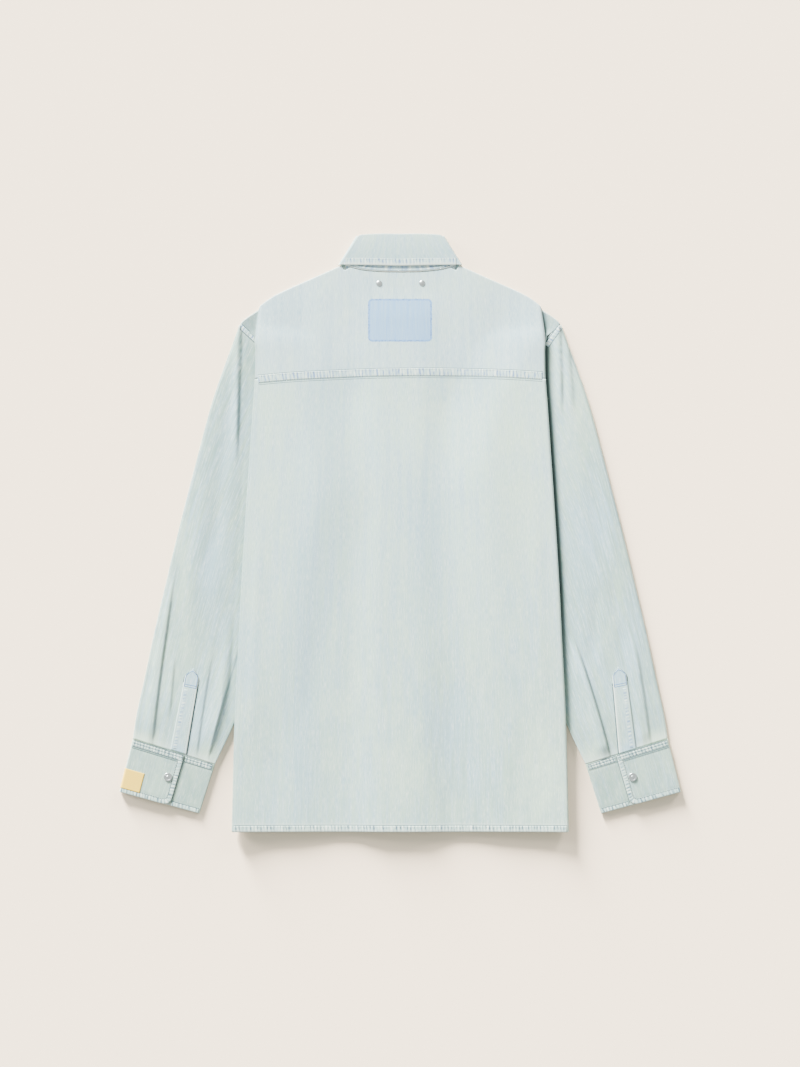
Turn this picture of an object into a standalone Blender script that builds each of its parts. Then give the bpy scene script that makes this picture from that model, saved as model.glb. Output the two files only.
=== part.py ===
"""A long-sleeved snap shirt in pale denim, laid flat on its front.

The shirt lies with its back up, the collar towards +Y and the hem towards -Y. X runs across it and Z is up.
Its sides are turned under: from the top down there lie the back, the front, the turned front, the turned back
and then the sleeve, which comes out from under the turned side. All sizes below are in millimetres.

A layer's height is counted in levels: level 0 lies on the floor and each level is one PITCH higher.
"""

import math

import bmesh
import bpy

MM = 0.001
WALL = 1.0  # one thickness of denim
PITCH = 1.8  # from one layer's middle to the next one's
GAP = 0.3  # between pieces that meet at a seam
CUFF_WALL = 1.2

HEM_Y = -400.0
SIDES = (("left", -1), ("right", 1))  # the wearer's sides, seen from the back

# The body's side: where it turns under, and where the turned part ends at the side seam or the armhole.
SIDE_ROWS = (  # y, fold, seam
    (-400.0, 225.0, 176.0),
    (-250.0, 221.0, 156.0),
    (-143.0, 215.8, 143.0),
    (-63.0, 211.8, 134.0),
    (0.0, 208.0, 126.5),
    (55.0, 204.4, 120.0),
    (110.0, 200.6, 127.0),
    (164.0, 197.0, 142.5),
    (206.0, 194.0, 161.0),
    (236.0, 193.4, 178.0),
    (260.0, 193.4, 193.4),
    (278.4, 191.5, 214.8),
    (303.0, 188.0, 214.8),
)
UNDERARM_Y = 55.0
RAMP_START = 32.0  # a layer starts to rise this far inside a layer that begins under it
RAMP_END = 4.0
CORNER_INSET = 5.0  # how far the fold draws in where the armhole crosses it
ARMHOLE_GAP = 0.9  # from the yoke's slanting end to the armhole's line

# The shoulder's edge, where the yoke rolls over to the front.
SHOULDER_ROWS = (  # x, y
    (0.0, 391.0),
    (60.0, 366.0),
    (85.0, 354.6),
    (117.0, 340.4),
    (152.0, 325.0),
    (171.0, 315.4),
    (188.0, 302.8),
    (214.8, 278.4),
    (240.0, 250.0),
)
FRONT_SEAM_DROP = 22.0  # from the shoulder's edge down the front to the yoke's seam
YOKE_SEAM_Y = 212.3
YOKE_SEAM_FALL = 6.7  # how much lower that seam is at the sides

# The sleeve: its outer fold and its inner edge, by their own heights.
OUTER_ROWS = (  # y, x
    (-276.5, 357.7),
    (-243.7, 352.7),
    (-198.2, 342.7),
    (-136.7, 329.6),
    (-89.9, 318.6),
    (-35.1, 305.8),
    (23.7, 291.3),
    (75.9, 277.9),
    (117.3, 267.3),
    (177.5, 251.0),
    (231.0, 232.6),
    (255.0, 223.6),
    (278.4, 215.6),
)
INNER_ROWS = (  # y, x
    (-310.3, 248.7),
    (-251.0, 221.0),
    (-150.0, 183.0),
    (-50.0, 150.0),
    (55.0, 120.6),
)
SLEEVE_LOFT = 2.2  # how far the free part of a sleeve swells

# Sleeve pleats at the cuff: from the foot at the cuff, as a share of its width, up to where each one fades.
PLEATS = {  # foot, top_x, top_y, height
    "left": ((0.18, 317.0, -60.0, 1.3), (0.93, 216.0, -145.0, 1.2)),
    "right": ((0.30, 312.0, -140.0, 0.9), (0.78, 234.0, -140.0, 1.3)),
}
PLEAT_STEP = 5.0

# A cuff's corners, seen flat.
CUFF_OUTER_TOP = (357.7, -276.5)
CUFF_INNER_TOP = (248.7, -310.3)
CUFF_INNER_FOOT = (269.4, -375.5)
CUFF_OUTER_FOOT = (375.3, -346.7)
CUFF_LAP = 0.63  # where the upper lap ends, as a share of the cuff's width from its outer edge
CUFF_UNDERLAP = 0.42
CUFF_CORNER = 9.0  # the rounding of the lap's lower corner
SNAP_PLACE = (310.8, -326.6)

# Sleeve plackets: the point's and the foot's middles and the widths there.
PLACKETS = {  # tip_x, tip_y, foot_x, foot_y, top_width, foot_width
    "left": (276.5, -181.5, 297.0, -293.0, 18.0, 21.0),
    "right": (291.5, -179.5, 304.0, -292.0, 18.0, 22.5),
}
PLACKET_POINT = 12.0
CUFF_SLOPE = 0.31  # how the cuff's upper edge rises towards its outer end

# The collar leaf and its stand, one half, from the middle of the back round to the front edge.
LEAF_BACK = (  # roll_x, roll_y, edge_x, edge_y, as in the five tables that follow
    (0.0, 399.6, 0.0, 356.8),
    (20.0, 400.0, 28.0, 357.4),
    (38.0, 399.6, 54.0, 358.2),
    (53.0, 398.4, 74.0, 358.6),
)
LEAF_FRONT = (
    (53.0, 393.0, 76.0, 347.0),
    (43.0, 372.0, 75.0, 322.0),
    (29.0, 344.0, 70.0, 290.0),
    (7.0, 306.0, 60.0, 246.0),
)
LEAF_CREASE = (58.5, 397.0, 82.8, 357.6)
STAND_BACK = (
    (0.0, 396.0, 0.0, 348.9),
    (20.0, 396.2, 28.0, 349.5),
    (36.0, 395.8, 52.0, 351.9),
    (48.0, 395.0, 68.0, 355.9),
)
STAND_FRONT = (
    (48.0, 388.0, 71.5, 337.0),
    (37.0, 368.0, 62.0, 301.5),
    (22.0, 336.0, 38.0, 287.0),
    (1.0, 302.0, 1.0, 277.0),
)
STAND_CREASE = (53.5, 393.0, 75.0, 358.4)
# The yoke's neckline: x, y.
NECK_ROWS = ((0.0, 348.4), (28.0, 349.0), (52.0, 351.4), (66.0, 354.6), (79.0, 357.0), (90.0, 420.0))
NECK_HALF = 79.0  # half the neck hole, at the shoulder's edge
FRONT_NECK_Y = 275.0
FRONT_NECK_TOP = 335.0

PLACKET_HALF = 19.0  # half the front band's width
RIGHT_FRONT_LAP = 17.0  # how far the right front runs past the middle, under the band
FRONT_SNAPS = 7
FRONT_SNAP_FIRST_Y = 262.0
FRONT_SNAP_STEP = 98.0
STUD_PLACES = ((-28.2, 333.4), (29.3, 333.8))
LABEL_LENGTH = 27.0  # across the cuff, on top of it
LABEL_WIDTH = 27.0
LABEL_FOOT = 0.08  # its lower edge, as a share of the cuff's height above the foot

DENIM = (0.655, 0.725, 0.715)
DENIM_SEAM = (0.60, 0.69, 0.71)
METAL = (0.62, 0.63, 0.64)
LABEL_CREAM = (0.90, 0.72, 0.43)


def clamp(value):
    return min(1.0, max(0.0, value))


def ease(low, high, value):
    """0 below low, 1 above high, with a soft start and end."""
    t = clamp((value - low) / (high - low))
    return t * t * (3.0 - 2.0 * t)


def mix(a, b, t):
    return a + (b - a) * t


def mix_points(a, b, t):
    return tuple(mix(p, q, t) for p, q in zip(a, b))


def read(rows, value, column=1):
    """A table read at a value of its first column, on a smooth curve through its rows."""
    last = len(rows) - 1
    for i in range(last):
        if value <= rows[i + 1][0] or i == last - 1:
            break
    before, here, there, after = rows[max(i - 1, 0)], rows[i], rows[i + 1], rows[min(i + 2, last)]
    step = there[0] - here[0]
    t = clamp((value - here[0]) / step)
    slope_here = (there[column] - before[column]) / (there[0] - before[0]) * step
    slope_there = (after[column] - here[column]) / (after[0] - here[0]) * step
    return (
        (2 * t**3 - 3 * t**2 + 1) * here[column]
        + (t**3 - 2 * t**2 + t) * slope_here
        + (3 * t**2 - 2 * t**3) * there[column]
        + (t**3 - t**2) * slope_there
    )


def height(level):
    """The middle of a layer at this level."""
    return WALL / 2 + PITCH * level


def fold_x(y):
    return read(SIDE_ROWS, y, 1)


def seam_x(y):
    return read(SIDE_ROWS, y, 2)


def shoulder_y(x):
    return read(SHOULDER_ROWS, abs(x))


# How far a layer is raised by what lies under it, in levels.


def below_crossing(y):
    """1 where the side is turned under, and 0 above the place where the armhole crosses the fold."""
    return 1 - ease(246, 276, y)


def over_turned_side(x, y):
    return ramp_up(seam_x(y), x) * below_crossing(y)


def sleeve_under(x, y):
    return ramp_up(seam_x(y) if y > UNDERARM_Y else read(INNER_ROWS, y), x)


def ramp_up(inner, x):
    """0 well inside a place under which a layer begins, 1 just before it."""
    return ease(inner - RAMP_START, inner - RAMP_END, abs(x))


def over_sleeve(x, y):
    return sleeve_under(x, y) * below_crossing(y)


def over_band(x, y):
    return (1 - ease(22, 72, abs(x))) * (1 - ease(285, 330, y))


def over_leaf(x, y):
    return ease(205, 240, y) * (1 - ease(92, 124, abs(x)))


def front_level(x, y, lap=0.0):
    """lap is 1 for the front that runs over the band."""
    raised = 1 - ease(22, 72, abs(x)) * (1 - over_leaf(x, y))
    lapped = lap * (1 - ease(22, 72, x))
    return raised + lapped + 2 * over_turned_side(x, y) + 2 * over_sleeve(x, y)


def back_level(x, y):
    raised = 1 - (1 - over_band(x, y)) * (1 - over_leaf(x, y))
    return 1 + raised + over_band(x, y) + 2 * over_turned_side(x, y) + 2 * over_sleeve(x, y)


# Sections across half the body, at a height y: lists of places (x, z) from the middle to the piece's edge.

ARC_STEPS = 4


def ramp_columns(y):
    """Where the layers over the sleeve's inner edge bend, from the inside out, and the last flat place."""
    edge = fold_x(y) - 1.5 * PITCH - CORNER_INSET * ease(244, 260, y)
    base = min(seam_x(y) - RAMP_END, edge - 5)
    inner = read(INNER_ROWS, min(y, UNDERARM_Y))
    evenly = ease(UNDERARM_Y, 120, y)
    bends = []
    for i, place in enumerate((RAMP_START, (RAMP_START + RAMP_END) / 2, RAMP_END)):
        bend = min(max(inner - place, base + 1 + i), edge - 4 + i)
        bends.append(mix(bend, mix(base, edge, (i + 1) / 4), evenly))
    return base, bends, edge


def flat_columns(first, base):
    third = (RAMP_START - RAMP_END) / 3
    halfway = (72 + base - 3 * third) / 2
    return list(first) + [46, 72, halfway] + [base - third * i for i in (3, 2, 1, 0)]


def tucked_section(y, first, top_level, under_level, evenly=0.0):
    """Flat from the first places to the fold, half a turn, and back under to the seam.

    evenly is 1 where the part past the fold is only the half turn, with its places spread evenly.
    """
    base, bends, edge = ramp_columns(y)
    points = [(x, height(top_level(x, y))) for x in flat_columns(first, base) + bends + [edge]]
    rim, foot = points[-1][1], height(under_level(edge, y))
    radius = max((rim - foot) / 2, PITCH / 2)
    turn = math.pi * radius
    inner = min(seam_x(y), bends[0] - 1)
    own = [turn * i / ARC_STEPS for i in range(1, ARC_STEPS + 1)]
    own += [turn + edge - x for x in bends[::-1] + [inner]]
    length = mix(own[-1], 0.75 * turn, evenly)
    for i, distance in enumerate(own):
        distance = mix(distance * length / own[-1], length * (i + 1) / len(own), evenly)
        angle = distance / radius
        if distance < turn:
            points.append((edge + radius * math.sin(angle), rim - radius + radius * math.cos(angle)))
        else:
            x = edge - (distance - turn)
            points.append((x, rim - foot - 2 * radius + height(under_level(x, y))))
    return points


def mix_sections(a, b, t):
    return [mix_points(p, q, t) for p, q in zip(a, b)]


FLAT_COLUMNS = 13  # places of the back's section before its fold


def back_section(y):
    """The back or the yoke: turned under at the side, or stepping down to the sleeve above the crossing."""

    def under_level(x, at):
        return 2 * sleeve_under(x, at)

    turned = tucked_section(y, (0, 22), back_level, under_level, ease(225, 250, y))
    count = len(turned)
    rim_x, rim = turned[FLAT_COLUMNS - 1]
    end_x = max(seam_x(y) - ARMHOLE_GAP, rim_x + 3)
    end = min(rim, height(mix(2, 1, ease(258, 272, y))))
    stepped = turned[:FLAT_COLUMNS]
    for i in range(FLAT_COLUMNS, count):
        part = (i - FLAT_COLUMNS + 1) / (count - FLAT_COLUMNS)
        stepped.append((mix(rim_x, end_x, part), mix(rim, end, ease(0, 1, part))))
    return mix_sections(turned, stepped, ease(251, 262, y))


def front_section(y, first, lap):
    """A front: turned under inside the back."""

    def level(x, at):
        return front_level(x, at, lap)

    def under_level(x, at):
        return 1 + 2 * sleeve_under(x, at)

    return tucked_section(y, first, level, under_level)


def new_material(name, colour, roughness=0.85, metallic=0.0):
    material = bpy.data.materials.new(name)
    material.use_nodes = True
    shader = material.node_tree.nodes["Principled BSDF"]
    shader.inputs["Base Color"].default_value = (*colour, 1.0)
    shader.inputs["Roughness"].default_value = roughness
    shader.inputs["Metallic"].default_value = metallic
    return material


def finish(name, mesh_builder, colour, roughness=0.85, metallic=0.0):
    """Makes the object that holds a bmesh, with its own material."""
    mesh = bpy.data.meshes.new(name)
    mesh_builder.to_mesh(mesh)
    mesh_builder.free()
    piece = bpy.data.objects.new(name, mesh)
    SHIRT.objects.link(piece)
    mesh.materials.append(new_material(name, colour, roughness, metallic))
    mesh.shade_smooth()
    mesh.set_sharp_from_angle(angle=math.radians(50))
    return piece


def cloth(name, surface, across, along, wall=WALL, colour=DENIM, even_wall=True):
    """A sheet of cloth: a grid that surface(across, along) puts in place, given its wall by Solidify.

    across and along are the grid's stations. The cloth is cut away where surface gives None.
    even_wall is off for a sheet that bends too sharply for Solidify's even offset.
    """
    sheet = bmesh.new()
    columns, rows = len(across), len(along)
    cut_away = []
    bmesh.ops.create_grid(sheet, x_segments=columns - 1, y_segments=rows - 1, size=1.0)
    for vert in sheet.verts:
        i = round((vert.co.x + 1) / 2 * (columns - 1))
        j = round((vert.co.y + 1) / 2 * (rows - 1))
        place = surface(across[i], along[j])
        if place is None:
            cut_away.append(vert)
        else:
            vert.co = [MM * value for value in place]
    bmesh.ops.delete(sheet, geom=cut_away, context="VERTS")
    bmesh.ops.remove_doubles(sheet, verts=sheet.verts, dist=0.00003)
    bmesh.ops.recalc_face_normals(sheet, faces=sheet.faces)
    piece = finish(name, sheet, colour)
    shell = piece.modifiers.new("wall", "SOLIDIFY")
    shell.thickness = wall * MM
    shell.offset = 0.0
    shell.use_even_offset = even_wall
    shell.use_quality_normals = True
    return piece


def even(count, low=0.0, high=1.0):
    return [mix(low, high, i / count) for i in range(count + 1)]


def seam_row(place):
    """Where a column of the back meets the yoke's seam."""
    x = back_section(YOKE_SEAM_Y)[place][0]
    return YOKE_SEAM_Y - YOKE_SEAM_FALL * (x / fold_x(YOKE_SEAM_Y)) ** 2


def mirrored_places(count):
    return list(range(1 - count, count))


def sign_of(place):
    return 1 if place >= 0 else -1


SECTION_PLACES = len(back_section(0))
# Rows from the hem to the yoke's seam, closer where the armhole curves.
BODY_ROWS = [0, 0.1, 0.2, 0.3, 0.4, 0.5, 0.58, 0.66, 0.72, 0.77, 0.82, 0.87, 0.92, 0.96, 1]
FLAP_TOP = 0.96  # the row where the fronts' turned sides end
JOINING_DIP = 0.92  # how much lower a front lies just above that row, to clear the back


def make_back():
    def surface(place, along):
        y = mix(HEM_Y, seam_row(abs(place)) - GAP / 2, along)
        x, z = back_section(y)[abs(place)]
        return sign_of(place) * x, y, z

    cloth("back", surface, mirrored_places(SECTION_PLACES), BODY_ROWS)


def roll_over(x, reach, top, low):
    """A point at a distance along the cloth past the shoulder's edge: on top, round the edge or under it."""
    edge = shoulder_y(x)
    radius = (top - low) / 2
    flat_end = edge - radius
    if reach <= flat_end:
        return reach, top
    turned = reach - flat_end
    if turned <= math.pi * radius:
        angle = turned / radius
        return flat_end + radius * math.sin(angle), (top + low) / 2 + radius * math.cos(angle)
    return flat_end - (turned - math.pi * radius), low


YOKE_MIDDLE = 0.4  # the share of the yoke's rows below the height where the armhole crosses the fold
YOKE_MIDDLE_Y = 262.0
YOKE_TOP = 0.8  # the share of its rows that lies on top
YOKE_ROLLED = 0.9


def make_yoke():
    """The yoke's columns start where the back's end. Each one ends at a place on the shoulder's edge."""
    rim = ramp_columns(303)[2]
    tops = [0, 18, 36, 52, 66, NECK_HALF - 0.5, NECK_HALF + 1.5, 96, 112, 130, 148, 165, rim]
    outer_places = SECTION_PLACES - FLAT_COLUMNS
    tops += [mix(rim, 214, (i + 1) / outer_places) for i in range(outer_places)]
    radius = PITCH / 2

    def surface(place, along):
        column = abs(place)
        edge_x = tops[column]
        edge = shoulder_y(edge_x)
        start = seam_row(column) + GAP / 2
        in_neck = edge_x < NECK_HALF - 1
        if in_neck and along > YOKE_TOP:
            return None
        top_end = min(edge - radius, read(NECK_ROWS, edge_x)) if in_neck else edge - radius
        if along < YOKE_MIDDLE:
            reach = mix(start, YOKE_MIDDLE_Y, along / YOKE_MIDDLE)
        else:
            reach = mix(YOKE_MIDDLE_Y, top_end, min(1, (along - YOKE_MIDDLE) / (YOKE_TOP - YOKE_MIDDLE)))
        if along > YOKE_TOP:
            turned = min(1, (along - YOKE_TOP) / (YOKE_ROLLED - YOKE_TOP))
            past = clamp((along - YOKE_ROLLED) / (1 - YOKE_ROLLED))
            drop = mix(FRONT_SEAM_DROP, 8, ease(195, 214, edge_x))
            reach += math.pi * radius * turned + past * (drop - radius)
        y_top = min(reach, top_end)
        x, z = back_section(y_top)[column]
        if column < FLAT_COLUMNS:
            x = mix(x, edge_x, ease(0, 1, along / YOKE_TOP))
            z = height(back_level(x, y_top))
        y, z = roll_over(edge_x, reach, z, z - PITCH)
        if along > YOKE_ROLLED and column >= FLAT_COLUMNS:
            x = mix(rim, seam_x(y) - ARMHOLE_GAP, (edge_x - rim) / (214 - rim))
        return sign_of(place) * x, y, z

    rows = even(5, 0, YOKE_MIDDLE)[:-1] + even(5, YOKE_MIDDLE, YOKE_TOP)[:-1]
    rows += even(3, YOKE_TOP, YOKE_ROLLED)[:-1] + even(2, YOKE_ROLLED, 1)
    cloth("back_yoke", surface, mirrored_places(SECTION_PLACES), rows, even_wall=False)


def front_top(x):
    """The front's upper edge: its neckline, and then the yoke's seam."""
    if abs(x) < NECK_HALF:
        round_part = math.sqrt(1 - (x / NECK_HALF) ** 2)
        return FRONT_NECK_TOP - (FRONT_NECK_TOP - FRONT_NECK_Y) * round_part
    return shoulder_y(x) - FRONT_SEAM_DROP - GAP


def make_front(side_name, side):
    """A front. Its turned side ends below the yoke's seam; above that it lies inside the armhole."""
    right = side_name == "right"
    first = (-RIGHT_FRONT_LAP, 2, 22) if right else (PLACKET_HALF + GAP, 30)
    lap = 1.0 if right else 0.0
    tops = list(first) + [50, 66, NECK_HALF + 1.5, 96, 126, 156, 178]
    middle_y = YOKE_SEAM_Y - YOKE_SEAM_FALL
    middle_end = seam_x(middle_y) - RAMP_START - 2
    middle = flat_columns(first, middle_end)

    def surface(place, along):
        y = mix(HEM_Y, middle_y, along)
        if along <= FLAP_TOP:
            x, z = front_section(y, first, lap)[place]
            return side * x, y, z
        if place >= len(tops):
            return None
        if along < 1:
            x = (flat_columns(first, ramp_columns(y)[0])[place] + middle[place]) / 2
            return side * x, y, height(JOINING_DIP * front_level(x, y, lap))
        share = max(0, along - 1)
        x = mix(middle[place], tops[place], share**2)
        y = mix(middle_y, front_top(tops[place]), share)
        return side * x, y, height(front_level(x, y, lap))

    rows = BODY_ROWS[:-1] + [0.98] + even(6, 1, 2)
    cloth(f"front_{side_name}", surface, range(len(front_section(0, first, 0))), rows)


def make_front_placket():
    def surface(across, along):
        return across * PLACKET_HALF, mix(HEM_Y, FRONT_NECK_Y, along), height(1)

    cloth("front_placket", surface, (-1, 0, 1), even(12), colour=DENIM_SEAM)


def sleeve_frame(along):
    """The sleeve's outer and inner edge at a share of its length."""
    outer_y = mix(OUTER_ROWS[-1][0], OUTER_ROWS[0][0] + GAP, along)
    inner_y = mix(UNDERARM_Y, INNER_ROWS[0][0] + GAP, along)
    return (read(OUTER_ROWS, outer_y), outer_y), (read(INNER_ROWS, inner_y), inner_y)


def sleeve_plan(across, along):
    """A point of the sleeve seen flat: across runs from the outer fold to the inner edge."""
    x, y = mix_points(*sleeve_frame(along), across)
    chord_x, chord_y = mix_points(*sleeve_frame(0), across)
    armhole_y = mix(OUTER_ROWS[-1][0], UNDERARM_Y, across)
    bow = 1 - ease(0, 0.45, along)
    return x + bow * (seam_x(armhole_y) + GAP - chord_x), y + bow * (armhole_y - chord_y)


def pleat_height(side_name, x, y):
    """The steps that the pleats make near the cuff. Each one is high on its inner side and fades upwards."""
    total = 0.0
    for foot, top_x, top_y, step in PLEATS[side_name]:
        foot_x, foot_y = mix_points(CUFF_OUTER_TOP, CUFF_INNER_TOP, foot)
        share = clamp((top_y - y) / (top_y - foot_y))
        line_x = mix(top_x, foot_x, share)
        total += step * ease(0, 1, share) * math.exp(-(((x - line_x) / PLEAT_STEP) ** 2))
    return total


def sleeve_top(side_name, x, y):
    """The height of the sleeve's upper layer's middle at a place outside the body's fold."""
    inner = max(fold_x(y) + 8, read(INNER_ROWS, y)) if y > INNER_ROWS[0][0] else read(INNER_ROWS, y)
    outer = read(OUTER_ROWS, y)
    share = clamp((x - inner) / max(outer - inner, 1))
    width = clamp((outer - inner) / 70)
    near_cuff = ease(0, 60, y + 276 + (outer - x) * 0.31)
    crown = SLEEVE_LOFT * width * math.sin(math.pi * share) ** 0.7 * near_cuff
    free = ease(0, 10, x - fold_x(y) - 3)
    return height(1) + crown * free + pleat_height(side_name, x, y) * free


EDGE_SHARE = 0.06  # a tube section's share that rounds each of its edges


def tube_height(across_loop):
    """A flattened tube: the place across it and how high it is there, 0 below to 1 above."""
    top_end = 0.5 - EDGE_SHARE
    if across_loop <= top_end:
        return across_loop / top_end, 1.0, 0.0
    if across_loop <= 0.5:
        angle = math.pi * (across_loop - top_end) / EDGE_SHARE
        return 1.0, 0.5 + 0.5 * math.cos(angle), math.sin(angle)
    if across_loop <= 1 - EDGE_SHARE:
        return 1 - (across_loop - 0.5) / top_end, 0.0, 0.0
    angle = math.pi * (across_loop - 1 + EDGE_SHARE) / EDGE_SHARE
    return 0.0, 0.5 - 0.5 * math.cos(angle), -math.sin(angle)


def make_sleeve(side_name, side):
    radius = PITCH / 2
    top_end = 0.5 - EDGE_SHARE

    def surface(loop, along):
        across, lift, bulge = tube_height(loop)
        outer, inner = sleeve_frame(along)
        width = math.hypot(inner[0] - outer[0], inner[1] - outer[1])
        inset = radius / width
        x, y = sleeve_plan(mix(inset, 1 - inset, across) + bulge * inset, along)
        low, top = height(0), sleeve_top(side_name, x, y)
        return side * x, y, mix(low, top, lift)

    loop = even(11, 0, top_end)[:-1] + even(3, top_end, 0.5)[:-1]
    loop += even(5, 0.5, 1 - EDGE_SHARE)[:-1] + even(3, 1 - EDGE_SHARE, 1)
    cloth(f"sleeve_{side_name}", surface, loop, even(19))


def make_sleeve_placket(side_name, side):
    tip_x, tip_y, foot_x, foot_y, top_width, foot_width = PLACKETS[side_name]
    length = math.hypot(foot_x - tip_x, foot_y - tip_y)
    point = PLACKET_POINT / length

    def surface(across, along):
        width = mix(foot_width, top_width, along) * clamp((1 - along) / point)
        x = mix(foot_x, tip_x, along) + across * width / 2
        y = mix(foot_y, tip_y, along) + across * width / 2 * mix(CUFF_SLOPE, 0.18, along)
        return side * x, y, sleeve_top(side_name, x, y) + WALL + GAP

    rows = even(8, 0, 1 - point) + [1.0]
    cloth(f"sleeve_placket_{side_name}", surface, (-1, -0.5, 0, 0.5, 1), rows, colour=DENIM_SEAM)


def cuff_plan(across, up):
    """A point of the flat cuff: across from its outer to its inner edge, up from its foot to the sleeve."""
    foot = mix_points(CUFF_OUTER_FOOT, CUFF_INNER_FOOT, across)
    top = mix_points(CUFF_OUTER_TOP, CUFF_INNER_TOP, across)
    return mix_points(foot, top, up)


def make_cuff(side_name, side):
    """A strip from the upper lap round the outer edge, along below and round to the underlap."""
    levels = {"lap": 2.0, "under": 1.0, "low": 0.0}
    base = CUFF_WALL / 2
    width = math.hypot(CUFF_OUTER_TOP[0] - CUFF_INNER_TOP[0], CUFF_OUTER_TOP[1] - CUFF_INNER_TOP[1])

    def place(run):
        """run: 0-1 the lap inwards out, 1-2 the outer turn, 2-3 below, 3-4 the inner turn, 4-5 the underlap."""
        lap, under, low = (base + PITCH * levels[key] for key in ("lap", "under", "low"))
        big, small = (lap - low) / 2, (under - low) / 2
        outer, inner = big / width, 1 - small / width
        if run <= 1:
            return mix(CUFF_LAP, outer, run), lap
        if run <= 2:
            angle = math.pi * (run - 1)
            return outer - big / width * math.sin(angle), (lap + low) / 2 + big * math.cos(angle)
        if run <= 3:
            return mix(outer, inner, run - 2), low
        if run <= 4:
            angle = math.pi * (run - 3)
            return inner + small / width * math.sin(angle), (under + low) / 2 - small * math.cos(angle)
        return mix(inner, CUFF_UNDERLAP, run - 4), under

    def surface(run, up):
        across, z = place(run)
        corner = 0.0
        if run < 0.2:
            reach = (0.2 - run) / 0.2
            corner = (1 - math.sqrt(max(0.0, 1 - reach**2))) * CUFF_CORNER / 70
        x, y = cuff_plan(across, mix(corner, 1, up))
        return side * x, y, z

    lap_runs = [0, 0.03, 0.08, 0.14, 0.2, 0.45, 0.7, 1]
    runs = lap_runs[:-1] + even(5, 1, 2)[:-1] + even(6, 2, 3)[:-1] + even(4, 3, 4)[:-1] + even(4, 4, 5)
    cloth(f"cuff_{side_name}", surface, runs, even(5), CUFF_WALL, colour=DENIM_SEAM)


def turned_piece(name, profile, place, base, steps, colour=METAL, roughness=0.3, metallic=1.0):
    """A round piece: a profile of radius and height, from its middle on top to its middle below, spun about Z."""
    outline = bmesh.new()
    points = [outline.verts.new((radius * MM, 0, height_here * MM)) for radius, height_here in profile]
    for first, second in zip(points, points[1:]):
        outline.edges.new((first, second))
    piece = finish(name, outline, colour, roughness, metallic)
    spin = piece.modifiers.new("spin", "SCREW")
    spin.steps = steps
    spin.render_steps = steps
    spin.use_merge_vertices = True
    spin.merge_threshold = 0.00002
    piece.location = (place[0] * MM, place[1] * MM, base * MM)
    return piece


SNAP_PROFILE = ((0, 1.9), (1.6, 1.75), (2.4, 1.15), (3.4, 1.1), (4.3, 1.6), (5.2, 1.45), (5.75, 0.8), (5.6, 0), (0, 0))
FLAT_SNAP_PROFILE = ((0, 1.3), (5.2, 1.3), (5.75, 0.8), (5.2, 0), (0, 0))
STUD_PROFILE = ((0, 1.5), (1.6, 1.36), (3.0, 0.95), (3.9, 0.4), (4.2, 0), (0, 0))


def make_snaps_and_studs():
    cuff_top = CUFF_WALL + 2 * PITCH + GAP
    for side_name, side in SIDES:
        turned_piece(f"cuff_snap_{side_name}", SNAP_PROFILE, (side * SNAP_PLACE[0], SNAP_PLACE[1]), cuff_top, 16)
    for i in range(FRONT_SNAPS):
        place = (0, FRONT_SNAP_FIRST_Y - FRONT_SNAP_STEP * i)
        turned_piece(f"front_snap_{i + 1}", FLAT_SNAP_PROFILE, place, 0.0, 12)
    for (side_name, _), place in zip(SIDES, STUD_PLACES):
        yoke_top = height(back_level(*place)) + WALL / 2 + 0.1
        turned_piece(f"back_stud_{side_name}", STUD_PROFILE, place, yoke_top, 16)


def make_label():
    """A blank woven label across the left cuff's lower outer corner, turned round its edge."""
    width = math.hypot(CUFF_OUTER_TOP[0] - CUFF_INNER_TOP[0], CUFF_OUTER_TOP[1] - CUFF_INNER_TOP[1])
    tall = math.hypot(CUFF_OUTER_TOP[0] - CUFF_OUTER_FOOT[0], CUFF_OUTER_TOP[1] - CUFF_OUTER_FOOT[1])
    lap = CUFF_WALL / 2 + 2 * PITCH
    low = CUFF_WALL / 2
    away = CUFF_WALL / 2 + GAP + WALL / 2
    big = (lap - low) / 2

    def surface(run, up):
        if run <= 1:
            across, z = mix(LABEL_LENGTH / width, big / width, run), lap + away
        else:
            angle = math.pi * 0.5 * (run - 1)
            radius = big + away
            across = big / width - radius / width * math.sin(angle)
            z = (lap + low) / 2 + radius * math.cos(angle)
        x, y = cuff_plan(across, LABEL_FOOT + up * LABEL_WIDTH / tall)
        return -x, y, z

    runs = even(4, 0, 1)[:-1] + even(4, 1, 2)
    cloth("cuff_label", surface, runs, even(4), colour=LABEL_CREAM)


def collar_half(rows_back, crease, rows_front, back_level_here, front_level_here):
    """Stations round half a collar piece: back rows, the turn at the side and front rows."""
    stations = [(row, height(back_level_here)) for row in rows_back]
    middle = height((back_level_here + front_level_here) / 2)
    radius = PITCH * (back_level_here - front_level_here) / 2
    for i in range(5):
        angle = math.pi * i / 4
        inset = radius * (1 - math.sin(angle))
        row = (crease[0] - inset, crease[1] - inset * 0.2, crease[2] - inset, crease[3] + inset * 0.2)
        stations.append((row, middle + radius * math.cos(angle)))
    return stations + [(row, height(front_level_here)) for row in rows_front]


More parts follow.
